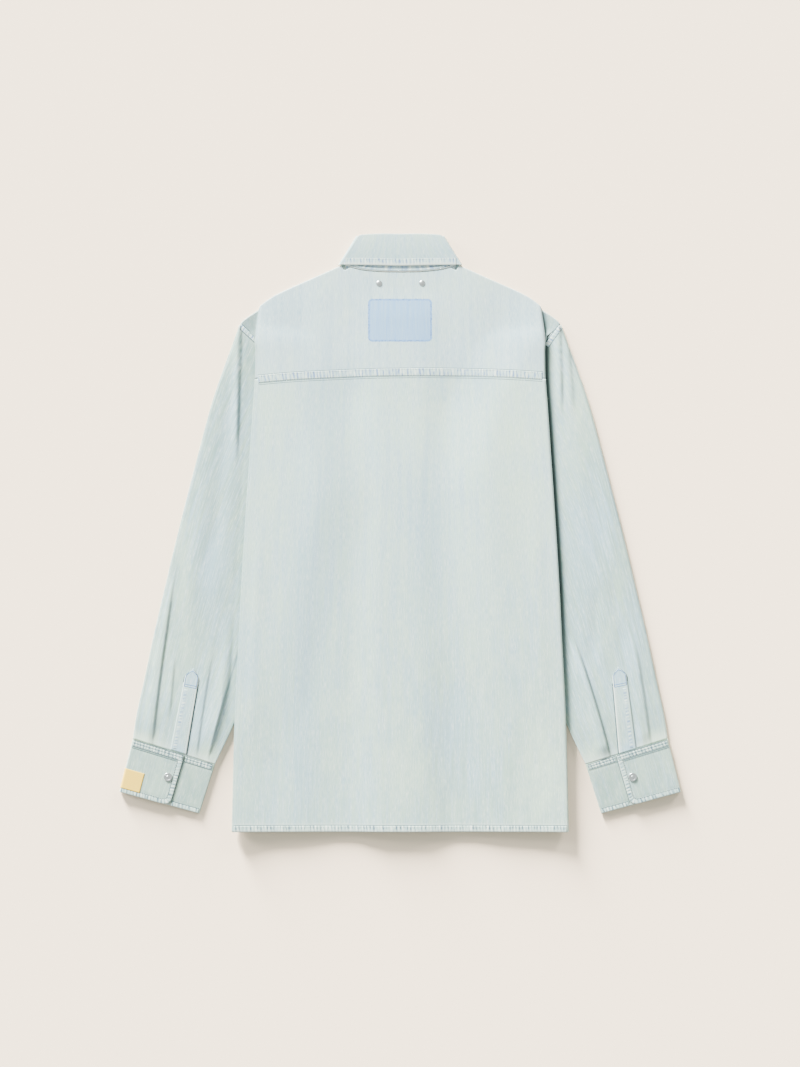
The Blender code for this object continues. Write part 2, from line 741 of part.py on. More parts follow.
def make_collar():
    stand = collar_half(STAND_BACK, STAND_CREASE, STAND_FRONT, 2, 1)
    leaf = collar_half(LEAF_BACK, LEAF_CREASE, LEAF_FRONT, 3, 0)

    def strip(stations):
        def surface(place, up):
            side = 1 if place >= 0 else -1
            (roll_x, roll_y, edge_x, edge_y), z = stations[abs(place)]
            x, y = mix_points((edge_x, edge_y), (roll_x, roll_y), up)
            return side * x, y, z

        return surface

    places = list(range(-len(stand) + 1, len(stand)))
    cloth("collar_stand", strip(stand), places, even(3), colour=DENIM_SEAM)
    places = list(range(-len(leaf) + 1, len(leaf)))
    cloth("collar_leaf", strip(leaf), places, even(4))


for leftover in list(bpy.data.objects):
    bpy.data.objects.remove(leftover, do_unlink=True)
SHIRT = bpy.data.collections.new("denim_shirt")
bpy.context.scene.collection.children.link(SHIRT)

make_back()
make_yoke()
make_front_placket()
make_collar()
make_snaps_and_studs()
make_label()
for wearer_side, sign in SIDES:
    make_front(wearer_side, sign)
    make_sleeve(wearer_side, sign)
    make_sleeve_placket(wearer_side, sign)
    make_cuff(wearer_side, sign)
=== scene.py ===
"""A pale, bleached denim snap shirt, laid flat on its front.

Each piece of cloth is a curved grid, worked out as whole arrays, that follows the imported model's layers.
Creases, seams, stitches and snaps are added to it. Sizes are in millimetres until a mesh is made. X runs
across the shirt, Y from its hem to its collar, and Z up from the floor. Left and right are the sides seen
from above.
"""

import math

import bpy
import numpy as np
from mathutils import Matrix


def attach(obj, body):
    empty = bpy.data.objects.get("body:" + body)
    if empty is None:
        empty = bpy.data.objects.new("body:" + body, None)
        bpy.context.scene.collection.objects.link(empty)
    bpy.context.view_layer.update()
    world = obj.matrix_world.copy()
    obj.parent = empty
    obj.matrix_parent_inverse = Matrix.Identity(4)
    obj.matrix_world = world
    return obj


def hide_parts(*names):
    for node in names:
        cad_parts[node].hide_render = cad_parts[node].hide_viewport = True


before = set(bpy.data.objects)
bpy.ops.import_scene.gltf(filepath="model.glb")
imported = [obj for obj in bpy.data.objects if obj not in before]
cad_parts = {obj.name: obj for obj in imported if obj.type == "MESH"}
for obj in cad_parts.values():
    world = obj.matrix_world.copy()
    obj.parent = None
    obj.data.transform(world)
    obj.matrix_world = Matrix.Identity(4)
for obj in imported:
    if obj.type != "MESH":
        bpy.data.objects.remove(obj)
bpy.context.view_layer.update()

MM = 0.001
WALL = 1.0  # one thickness of denim
PITCH = 1.8  # from one layer's middle to the next one's
GAP = 0.3
SIDES = (("left", -1), ("right", 1))

# The body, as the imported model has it.
HEM_Y = -400.0
SIDE_ROWS = (  # y, fold, seam
    (-400, 225, 176), (-250, 221, 156), (-143, 215.8, 143), (-63, 211.8, 134), (0, 208, 126.5),
    (55, 204.4, 120), (110, 200.6, 127), (164, 197, 142.5), (206, 194, 161), (236, 193.4, 178),
    (260, 193.4, 193.4), (278.4, 191.5, 214.8), (303, 188, 214.8),
)
SHOULDER_ROWS = (  # x, y
    (0, 391), (60, 366), (85, 354.6), (117, 340.4), (152, 325), (171, 315.4), (188, 302.8),
    (214.8, 278.4), (240, 250),
)
NECK_ROWS = ((0, 348.4), (28, 349), (52, 351.4), (66, 354.6), (79, 357), (90, 420))  # x, y
NECK_HALF = 78.0
UNDERARM_Y = 55.0
RAMP_WIDTH = 86.0  # over how much cloth a layer's step below is smoothed out
RAMP_END = 4.0
CRISP_Y = (244, 262)  # between these heights the body's turned side becomes a crisp edge
SHOULDER_Y = (246, 330)  # and between these the layers below it run out
BAND_X, BAND_Y = (22, 72), (285, 330)  # where the rise over the front band fades, away and upwards
LEAF_X, LEAF_Y = (92, 150), (170, 240)  # and the rise over the collar's front, away and downwards
BODY_LOFT = 1.5  # how far the back stands off the fronts below it
LOFT_X, LOFT_Y = (110, 180), (60, 180)
ARMHOLE_GAP = 0.9
CROSSING_Y = 262.0  # where the armhole's line crosses the body's fold
YOKE_SEAM_Y = 212.3
YOKE_SEAM_FALL = 6.7
YOKE_END_X = 214.0
FRONT_SEAM_DROP = 22.0

# The sleeves' outer fold and inner edge, as y, x.
OUTER_ROWS = (
    (-276.5, 357.7), (-243.7, 352.7), (-198.2, 342.7), (-136.7, 329.6), (-89.9, 318.6),
    (-35.1, 305.8), (23.7, 291.3), (75.9, 277.9), (117.3, 267.3), (177.5, 251), (231, 232.6),
    (255, 223.6), (278.4, 215.6),
)
INNER_ROWS = ((-310.3, 248.7), (-251, 221), (-150, 183), (-50, 150), (55, 120.6))
SLEEVE_LOFT = 2.2
PLEATS = {  # foot across the cuff, top_x, top_y, height
    "left": ((0.18, 317, -60, 1.3), (0.93, 216, -145, 1.2)),
    "right": ((0.30, 312, -140, 0.9), (0.78, 234, -140, 1.3)),
}
PLEAT_WIDTH = 5.0

# The cuffs' corners, seen flat, and what is on them.
CUFF_WALL = 1.2
CUFF_OUTER_TOP = (357.7, -276.5)
CUFF_INNER_TOP = (248.7, -310.3)
CUFF_INNER_FOOT = (269.4, -375.5)
CUFF_OUTER_FOOT = (375.3, -346.7)
CUFF_WIDTH = math.dist(CUFF_OUTER_TOP, CUFF_INNER_TOP)
CUFF_TALL = math.dist(CUFF_OUTER_TOP, CUFF_OUTER_FOOT)
CUFF_SLOPE = 0.31  # how its upper edge rises outwards
CUFF_LAP = 0.63
CUFF_UNDERLAP = 0.42
CUFF_CORNER = 9.0
CUFF_TOP_Z = CUFF_WALL + 2 * PITCH
CUFF_UNDER_Z = CUFF_WALL + PITCH
SNAP_PLACE = (310.8, -326.6)
LABEL_LENGTH = 27.0
LABEL_WIDTH = 27.0
LABEL_FOOT = 0.08
LABEL_WALL = 0.4
PLACKETS = {  # tip_x, tip_y, foot_x, foot_y, top_width, foot_width
    "left": (276.5, -181.5, 297, -293, 18, 21),
    "right": (291.5, -179.5, 304, -292, 18, 22.5),
}
PLACKET_POINT = 12.0
PLACKET_TOP_SLOPE = 0.18

# The collar, one half, as roll_x, roll_y, edge_x, edge_y: from the middle of the back, round the turn at the
# side, to the front edge.
LEAF_BACK = (
    (0, 399.6, 0, 356.8), (20, 400, 28, 357.4), (38, 399.6, 54, 358.2), (53, 398.4, 74, 358.6),
)
LEAF_CREASE = (58.5, 397, 82.8, 357.6)
LEAF_FRONT = ((53, 393, 76, 347), (43, 372, 75, 322), (29, 344, 70, 290), (7, 306, 60, 246))
STAND_BACK = (
    (0, 396, 0, 348.9), (20, 396.2, 28, 349.5), (36, 395.8, 52, 351.9), (48, 395, 68, 355.9),
)
STAND_CREASE = (53.5, 393, 75, 358.4)
STAND_FRONT = ((48, 388, 71.5, 337), (37, 368, 62, 301.5), (22, 336, 38, 287), (1, 302, 1, 277))
LEAF_LEVEL, STAND_LEVEL = 3, 2.3
STUD_PLACES = ((-28.2, 333.4), (29.3, 333.8))
PATCH_MIDDLE = (-0.4, 284.2)  # the unfaded rectangle below the collar
PATCH_HALF = (42.8, 28.7)
PATCH_CORNER = 6.0


def mix(a, b, t):
    return a + (b - a) * t


def unit(value):
    """A value kept between 0 and 1."""
    return np.clip(value, 0, 1)


def ease(low, high, value):
    """0 below low, 1 above high: 3 t squared less 2 t cubed between them."""
    t = unit((value - low) / (high - low))
    return t * t * (3 - 2 * t)


def fall(low, high, value):
    """1 below low, 0 above high."""
    return 1 - ease(low, high, value)


def bell(value, reach):
    """1 at 0, falling as e to the minus square of value over reach."""
    return np.exp(-((value / reach) ** 2))


def read(rows, value, column=1):
    """A table's column at each value: cubic pieces whose slope at a row is the chord past it."""
    table = np.array(rows, float)
    xs, ys = table[:, 0], table[:, column]
    slopes = np.empty_like(ys)
    slopes[1:-1] = (ys[2:] - ys[:-2]) / (xs[2:] - xs[:-2])
    slopes[0] = (ys[1] - ys[0]) / (xs[1] - xs[0])
    slopes[-1] = (ys[-1] - ys[-2]) / (xs[-1] - xs[-2])
    value = np.clip(value, xs[0], xs[-1])
    i = np.clip(np.searchsorted(xs, value) - 1, 0, len(xs) - 2)
    step = xs[i + 1] - xs[i]
    t = (value - xs[i]) / step
    return (
        (2 * t**3 - 3 * t**2 + 1) * ys[i]
        + (t**3 - 2 * t**2 + t) * step * slopes[i]
        + (3 * t**2 - 2 * t**3) * ys[i + 1]
        + (t**3 - t**2) * step * slopes[i + 1]
    )


def places(*stretches):
    """Grid stations: each stretch is (start, end, steps), and stretches that follow on share a station."""
    parts = [np.linspace(start, end, steps + 1) for start, end, steps in stretches]
    return np.concatenate([parts[0]] + [part[1:] for part in parts[1:]])


# The body's layers. A level is one layer's height.


def height(level):
    return WALL / 2 + PITCH * level


def fold_x(y):
    return read(SIDE_ROWS, y, 1)


def seam_x(y):
    return read(SIDE_ROWS, y, 2)


def rim_x(y):
    """The last flat place before the side turns under."""
    return fold_x(y) - mix(1.5 * PITCH, 1.0, ease(*CRISP_Y, y))


def raised_over(inner, x):
    return ease(inner - RAMP_END - RAMP_WIDTH, inner - RAMP_END, np.abs(x))


def over_sleeve(x, y):
    return raised_over(np.where(y > UNDERARM_Y, seam_x(y), read(INNER_ROWS, y)), x)


def back_middle(x, y):
    """The middle of the back's and the yoke's wall."""
    over_band = fall(*BAND_X, np.abs(x)) * fall(*BAND_Y, y)
    over_leaf = ease(*LEAF_Y, y) * fall(*LEAF_X, np.abs(x))
    raised = 1 - (1 - over_band) * (1 - over_leaf)
    layers = 2 * (raised_over(seam_x(y), x) + over_sleeve(x, y)) * fall(*SHOULDER_Y, y)
    loft = BODY_LOFT * fall(*LOFT_Y, y) * fall(*LOFT_X, np.abs(x))
    return height(1 + raised + over_band + layers) + loft


CREASE_FADE = 0.3  # the share of a crease that fades out at each end


def crease(x, y, start, end, reach, depth, bow=0.0):
    """A trough or ridge along a line: a bell across it, faded at both ends.

    reach is its width on its larger-x and on its smaller-x side. bow bends its middle towards larger x.
    """
    run = np.subtract(end, start)
    length = math.hypot(*run)
    t = ((x - start[0]) * run[0] + (y - start[1]) * run[1]) / length**2
    across = ((y - start[1]) * run[0] - (x - start[0]) * run[1]) / length - bow * (1 - (2 * t - 1) ** 2)
    side = bell(across, np.where(across > 0, reach[0], reach[1]))
    return depth * side * ease(0, CREASE_FADE, t) * fall(1 - CREASE_FADE, 1, t)


# Creases, as start, end, reach, depth, bow. On the sleeves x is away from the middle, and a narrow reach is the
# cliff of a tuck.
BODY_CREASES = (
    ((-150, 190), (-128, -150), (16, 22), -0.7, 6),
    ((-92, 60), (-120, -330), (22, 18), -0.9, -8),
    ((-60, 190), (-66, -40), (14, 20), 0.5, 4),
    ((30, 120), (36, -180), (20, 26), -0.7, 8),
    ((70, -170), (98, -360), (26, 18), -0.8, 5),
    ((120, 200), (140, -60), (18, 16), 0.5, -5),
    ((176, 60), (190, -260), (8, 14), 0.6, 3),
    ((-184, 40), (-200, -300), (12, 8), 0.6, -3),
    ((-110, 316), (-60, 232), (26, 30), -0.3, 6),
    ((128, 312), (90, 230), (28, 24), -0.3, -6),
    ((-12, -240), (14, -392), (14, 20), 0.5, 4),
    ((-170, -280), (-150, -392), (10, 14), -0.5, 0),
    ((150, -300), (160, -392), (12, 10), -0.5, 0),
)
SLEEVE_CREASES = {
    "left": (
        ((299, -36), (338, -330), (13, 1.4), 2.3, 2.6),
        ((302, -160), (310, -250), (6, 1.6), 1.2, 0),
        ((250, -150), (277, -330), (9, 1.6), 1.3, 2),
        ((192, -70), (265, -330), (14, 1.5), 3.8, 2),
        ((214, 330), (220, 80), (7, 1.5), 2.8, 0),
        ((232, 190), (262, -80), (14, 12), -1.6, -5),
        ((262, 60), (292, -120), (12, 16), 0.9, -3),
        ((322, -90), (344, -240), (8, 7), -0.9, 0),
    ),
    "right": (
        ((226, -126), (292, -352), (1.3, 13), 4.0, 4),
        ((309, -130), (338, -330), (2.6, 12), 2.2, 2),
        ((211, 320), (216, 150), (1.5, 5), 2.2, 0),
        ((219, 310), (232, 150), (1.8, 6), 1.7, 0),
        ((262, -60), (254, -190), (8, 10), -1.0, 3),
        ((240, 160), (272, -60), (14, 12), -1.0, 4),
        ((280, -60), (300, -170), (10, 9), -0.8, 3),
    ),
}
TUCK_REACH = 3.0  # a ridge with a reach below this is a tuck
TUCK_FOOT_PLACE = 1.3  # where its foot is, as a share of that reach
TUCK_FOOT_REACH = 1.4
TUCK_SHADE = 0.13  # how dark the painted shade at its foot is for each millimetre of its height


def tuck_foot_shades(x, y, rows):
    """Painted shade at the foot of each tuck's cliff, on the side of its narrow reach."""
    dark = 0.0
    for start, end, reach, depth, bow in rows:
        if depth > 0 and min(reach) < TUCK_REACH:
            shift = TUCK_FOOT_PLACE * min(reach) * (1 if reach[0] < reach[1] else -1)
            moved = [(px + shift, py) for px, py in (start, end)]
            dark = dark + crease(x, y, *moved, (TUCK_FOOT_REACH, TUCK_FOOT_REACH), TUCK_SHADE * depth, bow)
    return dark


def back_surface(x, y):
    """The middle of the back's wall with its broad creases."""
    soft = sum(crease(x, y, *row) for row in BODY_CREASES)
    return back_middle(x, y) + soft * fall(0.92, 1, np.abs(x) / rim_x(y))


def back_top(x, y):
    return back_surface(x, y) + WALL / 2


# Meshes.


def placed(name, data):
    """A new object in the scene."""
    made = bpy.data.objects.new(name, data)
    bpy.context.scene.collection.objects.link(made)
    return made


def placed_mesh(name, vertices, faces, finish):
    mesh = bpy.data.meshes.new(name)
    mesh.from_pydata((vertices * MM).tolist(), [], faces)
    mesh.materials.append(finish)
    return placed(name, mesh)


def new_piece(name, vertices, faces, finish, slot):
    piece = placed_mesh(name, vertices, faces.tolist(), finish)
    piece.data.shade_smooth()
    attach(piece, "root")
    return piece


def cloth(name, x, y, z, finish, slot="denim", wall=WALL, keep=None, offset=0.0, **masks):
    """A sheet of cloth on a grid of rows and columns.

    Its UV map holds the grid's own mean lengths, in metres, so a weave follows the cloth. keep drops faces,
    and masks are stored as attributes for the finish.
    """
    points = np.stack(np.broadcast_arrays(x, y, z), axis=-1)
    rows, columns = points.shape[:2]
    run_u = np.linalg.norm(np.diff(points, axis=1), axis=2).mean(axis=0)
    run_v = np.linalg.norm(np.diff(points, axis=0), axis=2).mean(axis=1)
    u = np.concatenate([[0], np.cumsum(run_u)]) * MM
    v = np.concatenate([[0], np.cumsum(run_v)]) * MM
    flat_uv = np.stack(np.meshgrid(u, v), axis=-1).reshape(-1, 2)
    index = np.arange(rows * columns).reshape(rows, columns)
    faces = np.stack([index[:-1, :-1], index[:-1, 1:], index[1:, 1:], index[1:, :-1]], axis=-1)
    faces = faces.reshape(-1, 4) if keep is None else faces[keep]
    used, renumbered = np.unique(faces, return_inverse=True)
    faces = renumbered.reshape(-1, 4)
    piece = new_piece(name, points.reshape(-1, 3)[used], faces, finish, slot)
    corner_uv = flat_uv[used][faces.reshape(-1)]
    piece.data.uv_layers.new(name="cloth").data.foreach_set("uv", corner_uv.reshape(-1))
    for mask, values in masks.items():
        values = np.broadcast_to(values, (rows, columns)).reshape(-1)[used]
        piece.data.attributes.new(mask, "FLOAT", "POINT").data.foreach_set("value", values)
    shell = piece.modifiers.new("wall", "SOLIDIFY")
    shell.thickness = wall * MM
    shell.offset = offset
    return piece


def smooth_path(points, step=1.2):
    """A path through points, by cubic pieces over the distance along them."""
    points = np.array(points, float)
    runs = np.concatenate([[0], np.cumsum(np.hypot(*np.diff(points, axis=0).T))])
    at = np.linspace(0, runs[-1], max(3, int(runs[-1] / step)))
    return tuple(read(np.column_stack([runs, points[:, axis]]), at) for axis in (0, 1))


def path_frame(x, y):
    """The distance along a path, and unit directions along it and to its left, in plan."""
    distance = np.concatenate([[0], np.cumsum(np.hypot(np.diff(x), np.diff(y)))])
    along = np.stack([np.gradient(x), np.gradient(y)], axis=-1)
    along /= np.linalg.norm(along, axis=1, keepdims=True)
    return distance, along, np.stack([-along[:, 1], along[:, 0]], axis=-1)


def beside(path, away):
    """The path moved to its left."""
    x, y = smooth_path(path, 3.0)
    return np.column_stack([x, y]) + path_frame(x, y)[2] * away


def mirrored(path, side):
    return np.array(path, float) * (side, 1)


# A top is a function of x and y: the height that a seam lies on.


def level_top(z):
    return lambda x, y: np.zeros_like(x) + z


def raised(top, by):
    return lambda x, y: top(x, y) + by


PUCKER_PERIOD = 4.4
PUCKER_DRIFTS = ((1.4, 17, 1), (1.1, 41, 2), (0.5, 5.3, 0))  # amount, length, share of the seed
BAND_COLUMNS = 13
BAND_WALL = 0.3
BAND_SINK = 0.1  # how deep a band's edges lie in the panel


def seam_band(name, path, half_width, top, lift=0.5, pucker=0.14, seed=0.0, white_edge=0.0, finish=None):
    """A turned seam that lies on a panel: a flat-topped ridge along a path, with slanting puckers.

    Its height over the panel is lift times one less the fourth power of the place across, plus a wave along
    it whose length drifts.
    """
    x, y = smooth_path(path)
    distance, _, left = path_frame(x, y)
    across = np.linspace(-1, 1, BAND_COLUMNS)[:, None]
    px = x + left[:, 0] * across * half_width
    py = y + left[:, 1] * across * half_width
    drift = sum(amount * np.sin(distance / run + share * seed) for amount, run, share in PUCKER_DRIFTS)
    wave = np.sin(2 * math.pi * (distance + 0.5 * across + drift) / PUCKER_PERIOD)
    z = top(px, py) + lift * (1 - across**4) - BAND_SINK + pucker * wave * (1 - across**2)
    wear = white_edge * fall(-0.7, 0, across) + 0.35 * ease(0.8, 1, np.abs(across))
    masks = {"pucker": wave * 0.5 + 0.5, "wear": wear}
    return cloth(name, px, py, z, finish or SEAM_CLOTH, "seam_denim", BAND_WALL, offset=-1.0, **masks)


STITCH_PITCH = 3.1
STITCH_LENGTH = 2.3
STITCH_RADIUS = 0.24
STITCH_ENDS = 0.72  # an end ring's girth, as a share of the middle one's
STITCH_VERTICES = 14  # three rings of four, and two tips


def tube_faces(rings, sides=4):
    """Triangles of a tube of rings, whose first and last vertices are its tips."""
    j, k = np.arange(sides), (np.arange(sides) + 1) % sides
    last = 1 + sides * (rings - 1)
    firsts = np.arange(1, last, sides)[:, None]
    corners = (firsts + j, firsts + k, firsts + sides + k, firsts + sides + j)
    walls = np.stack(corners, axis=-1).reshape(-1, 4)
    first_tip = np.stack([0 * j, 1 + k, 1 + j], axis=1)
    last_tip = np.stack([0 * j + last + sides, last + j, last + k], axis=1)
    return np.concatenate([first_tip, walls[:, [0, 1, 2]], walls[:, [0, 2, 3]], last_tip])


def stitch_row(path, top):
    """Stitches along a path: each is a spindle of three square rings and two tips.

    Returns vertices and faces.
    """
    x, y = smooth_path(path, 0.6)
    distance, along, _ = path_frame(x, y)
    count = max(1, int(distance[-1] / STITCH_PITCH))
    at = (np.arange(count) + 0.5) * distance[-1] / count
    cx, cy, ax, ay = (np.interp(at, distance, values)[:, None] for values in (x, y, *along.T))
    ring = np.arange(4) * math.pi / 2 + math.pi / 4
    girth = np.repeat([STITCH_ENDS, 1.0, STITCH_ENDS], 4) * STITCH_RADIUS
    sunk = [-0.5 * STITCH_RADIUS]
    side = np.concatenate([[0], girth * np.tile(np.cos(ring), 3), [0]])
    up = np.concatenate([sunk, girth * np.tile(np.sin(ring), 3), sunk])
    t = np.concatenate([[-1], np.repeat([-0.7, 0.0, 0.7], 4), [1]]) * STITCH_LENGTH / 2
    px = cx + ax * t - ay * side
    py = cy + ay * t + ax * side
    pz = top(px, py) + STITCH_RADIUS * 0.5 + up
    faces = tube_faces(3)[None] + STITCH_VERTICES * np.arange(count)[:, None, None]
    return np.stack([px, py, pz], axis=-1).reshape(-1, 3), faces.reshape(-1, 3)


LINE_HALF = 0.4
LINE_RISE = 0.09
LINE_LIFT = 0.02
LINE_STEP = 2.5


def seam_shade_line(path, top, half=LINE_HALF):
    """Painted shade where a row of stitches pulls the cloth in: a very flat, dark tube.

    Returns vertices and faces.
    """
    x, y = smooth_path(path, LINE_STEP)
    _, along, left = path_frame(x, y)
    side = np.array([1, 0, -1, 0]) * half
    up = np.array([0, 1, 0, -1]) * LINE_RISE
    px = x[:, None] + left[:, :1] * side
    py = y[:, None] + left[:, 1:] * side
    pz = top(px, py) + up + LINE_LIFT
    ring = np.stack([px, py, pz], axis=-1)
    tips = ring.mean(axis=1)[[0, -1]] + np.column_stack([along[[0, -1]] * [[-half], [half]], [0, 0]])
    vertices = np.concatenate([tips[:1], ring.reshape(-1, 3), tips[1:]])
    return vertices, tube_faces(len(x))


def merged(name, parts, finish):
    """Many small closed shapes as one mesh."""
    counts = np.cumsum([0] + [len(vertices) for vertices, _ in parts[:-1]])
    vertices = np.concatenate([vertices for vertices, _ in parts])
    faces = np.concatenate([faces + first for first, (_, faces) in zip(counts, parts)])
    return new_piece(name, vertices, faces, finish, "seam_denim")


# Materials.


def linear(red, green, blue):
    """A colour given in display values of 0 to 255."""
    return tuple(((c / 255 + 0.055) / 1.055) ** 2.4 for c in (red, green, blue)) + (1.0,)


class Nodes:
    """A node tree, with short ways to add the nodes that the finishes use.

    Links give a node's inputs, by name or number, as values or as other nodes' outputs.
    """

    def __init__(self, tree):
        self.tree = tree
        self.join = tree.links.new

    def add(self, kind, links, **settings):
        made = self.tree.nodes.new(kind)
        for name, value in settings.items():
            setattr(made, name, value)
        for name, value in links.items():
            if isinstance(value, bpy.types.NodeSocket):
                self.join(value, made.inputs[name])
            else:
                made.inputs[name].default_value = value
        return made.outputs

    def maths(self, operation, a, b=0.0, c=0.0, clamp=False):
        return self.add("ShaderNodeMath", {0: a, 1: b, 2: c}, operation=operation, use_clamp=clamp)[0]

    def less(self, a, b, clamp=False):
        return self.maths("SUBTRACT", a, b, clamp=clamp)

    def times(self, a, b, plus=0.0, clamp=False):
        """a times b, plus a third value."""
        return self.maths("MULTIPLY_ADD", a, b, plus, clamp)

    def blend(self, share, a, b):
        return self.add("ShaderNodeMix", {0: share, 6: a, 7: b}, data_type="RGBA")[2]

    def mapped(self, vector, scale, turn=0.0):
        links = {"Vector": vector, "Scale": scale, "Rotation": (0, 0, turn)}
        return self.add("ShaderNodeMapping", links)[0]

    def noise(self, vector, scale, detail=2.0, roughness=0.5):
        links = {"Vector": vector, "Scale": scale, "Detail": detail, "Roughness": roughness}
        return self.add("ShaderNodeTexNoise", links)["Fac"]

    def stretch(self, value, low, high, to_low=0.0, to_high=1.0):
        links = {"Value": value, "From Min": low, "From Max": high, "To Min": to_low, "To Max": to_high}
        return self.add("ShaderNodeMapRange", links, interpolation_type="SMOOTHSTEP")[0]

    def group(self, group, place):
        return self.add("ShaderNodeGroup", {"Place": place}, node_tree=group)


def new_group(name, outputs):
    """A node group whose input is a place in metres, with its outputs' sockets by name."""
    tree = bpy.data.node_groups.new(name, "ShaderNodeTree")
    tree.interface.new_socket("Place", in_out="INPUT", socket_type="NodeSocketVector")
    for label in outputs:
        tree.interface.new_socket(label, in_out="OUTPUT", socket_type="NodeSocketFloat")
    place = tree.nodes.new("NodeGroupInput").outputs["Place"]
    return Nodes(tree), place, tree.nodes.new("NodeGroupOutput").inputs


TWILL_TURN = math.radians(-52)


def make_noise_group(name, rows, spread, twilled=False):
    """Noises drawn out along the warp, by output, scale, detail and roughness, and stretched about a half.

    twilled adds the weave's height: its last noise and a slanting wave.
    """
    nodes, place, out = new_group(name, [row[0] for row in rows] + ["Height"] * twilled)
    for label, scale, detail, roughness in rows:
        raw = nodes.noise(nodes.mapped(place, scale), 1.0, detail, roughness)
        nodes.join(nodes.stretch(raw, 0.5 - spread, 0.5 + spread), out[label])
    if twilled:
        links = {"Vector": nodes.mapped(place, (1, 1, 1), TWILL_TURN), "Scale": 330.0, "Distortion": 0.6}
        twill = nodes.add("ShaderNodeTexWave", {**links, "Detail": 1.0}, wave_type="BANDS")["Fac"]
        nodes.join(nodes.times(raw, 0.6, nodes.times(twill, 0.4)), out["Height"])
    return nodes.tree


def make_patch_group():
    """The unfaded rectangle: a rounded box's distance, with a ragged edge, a darker rim and stitch holes."""
    nodes, place, out = new_group("unfaded_patch", ("Inside", "Rim", "Holes"))
    parts = nodes.add("ShaderNodeSeparateXYZ", {0: place})
    corner = PATCH_CORNER * MM
    square = 0.0
    for axis in range(2):
        away = nodes.maths("ABSOLUTE", nodes.less(parts[axis], PATCH_MIDDLE[axis] * MM))
        side = nodes.maths("MAXIMUM", nodes.less(away, PATCH_HALF[axis] * MM - corner), 0.0)
        square = nodes.times(side, side, square)
    distance = nodes.less(nodes.maths("SQRT", square), corner)
    distance = nodes.maths("ADD", distance, nodes.times(nodes.noise(place, 420.0), 1.6 * MM, -0.8 * MM))
    nodes.join(nodes.stretch(distance, 0.6 * MM, -0.8 * MM), out["Inside"])
    near = nodes.maths("ABSOLUTE", nodes.maths("ADD", distance, 1.2 * MM))
    rim = nodes.stretch(near, 1.8 * MM, 0.3 * MM)
    nodes.join(rim, out["Rim"])
    nodes.join(nodes.times(rim, nodes.stretch(nodes.noise(place, 330.0), 0.5, 0.62)), out["Holes"])
    return nodes.tree


WEAVE = make_noise_group(  # broad and fine slubs, warp threads and twill
    "denim_weave",
    (("Band", (150, 7, 1), 2, 0.55), ("Slub", (560, 18, 1), 3, 0.6), ("Thread", (1300, 110, 1), 2, 0.6)),
    0.17,
    twilled=True,
)
BLEACH = make_noise_group(
    "bleach_blotches", (("Blotch", (12, 7, 1), 2, 0.5), ("Fleck", (60, 28, 1), 3, 0.6)), 0.18
)
PATCH = make_patch_group()

PALE = linear(192, 217, 210)
YOKE_PALE = linear(196, 217, 221)
HEM_PALE = linear(172, 197, 188)
BLUISH_PALE = linear(180, 204, 206)
BLUE = linear(160, 190, 206)
CREAM = linear(212, 232, 196)
# A darker, greener tone, also used to paint shade on turns and beside the body.
DARK_TONE_AND_SHADE = linear(140, 166, 155)
WHITE = linear(238, 242, 230)
SHADE_THREAD = linear(150, 180, 190)
SEAM_BLUE = linear(122, 142, 184)
SEAM_GREY = linear(100, 120, 132)
COLUMN_BLUE = linear(128, 150, 186)
# Painted shade, for crevices, turns, the gap beside the body and the feet of tucks.
PAINTED_CREVICE_SHADE = linear(58, 74, 72)
PATCH_BLUE = linear(133, 175, 221)
PATCH_RIM = linear(104, 146, 208)
PATCH_HOLE = linear(70, 100, 160)


def new_finish(name, settings):
    """A material, its nodes and its shader's inputs, with some of them set."""
    finish = bpy.data.materials.new(name)
    finish.use_nodes = True
    shader = finish.node_tree.nodes["Principled BSDF"].inputs
    for label, value in settings.items():
        shader[label].default_value = value
    return finish, Nodes(finish.node_tree), shader


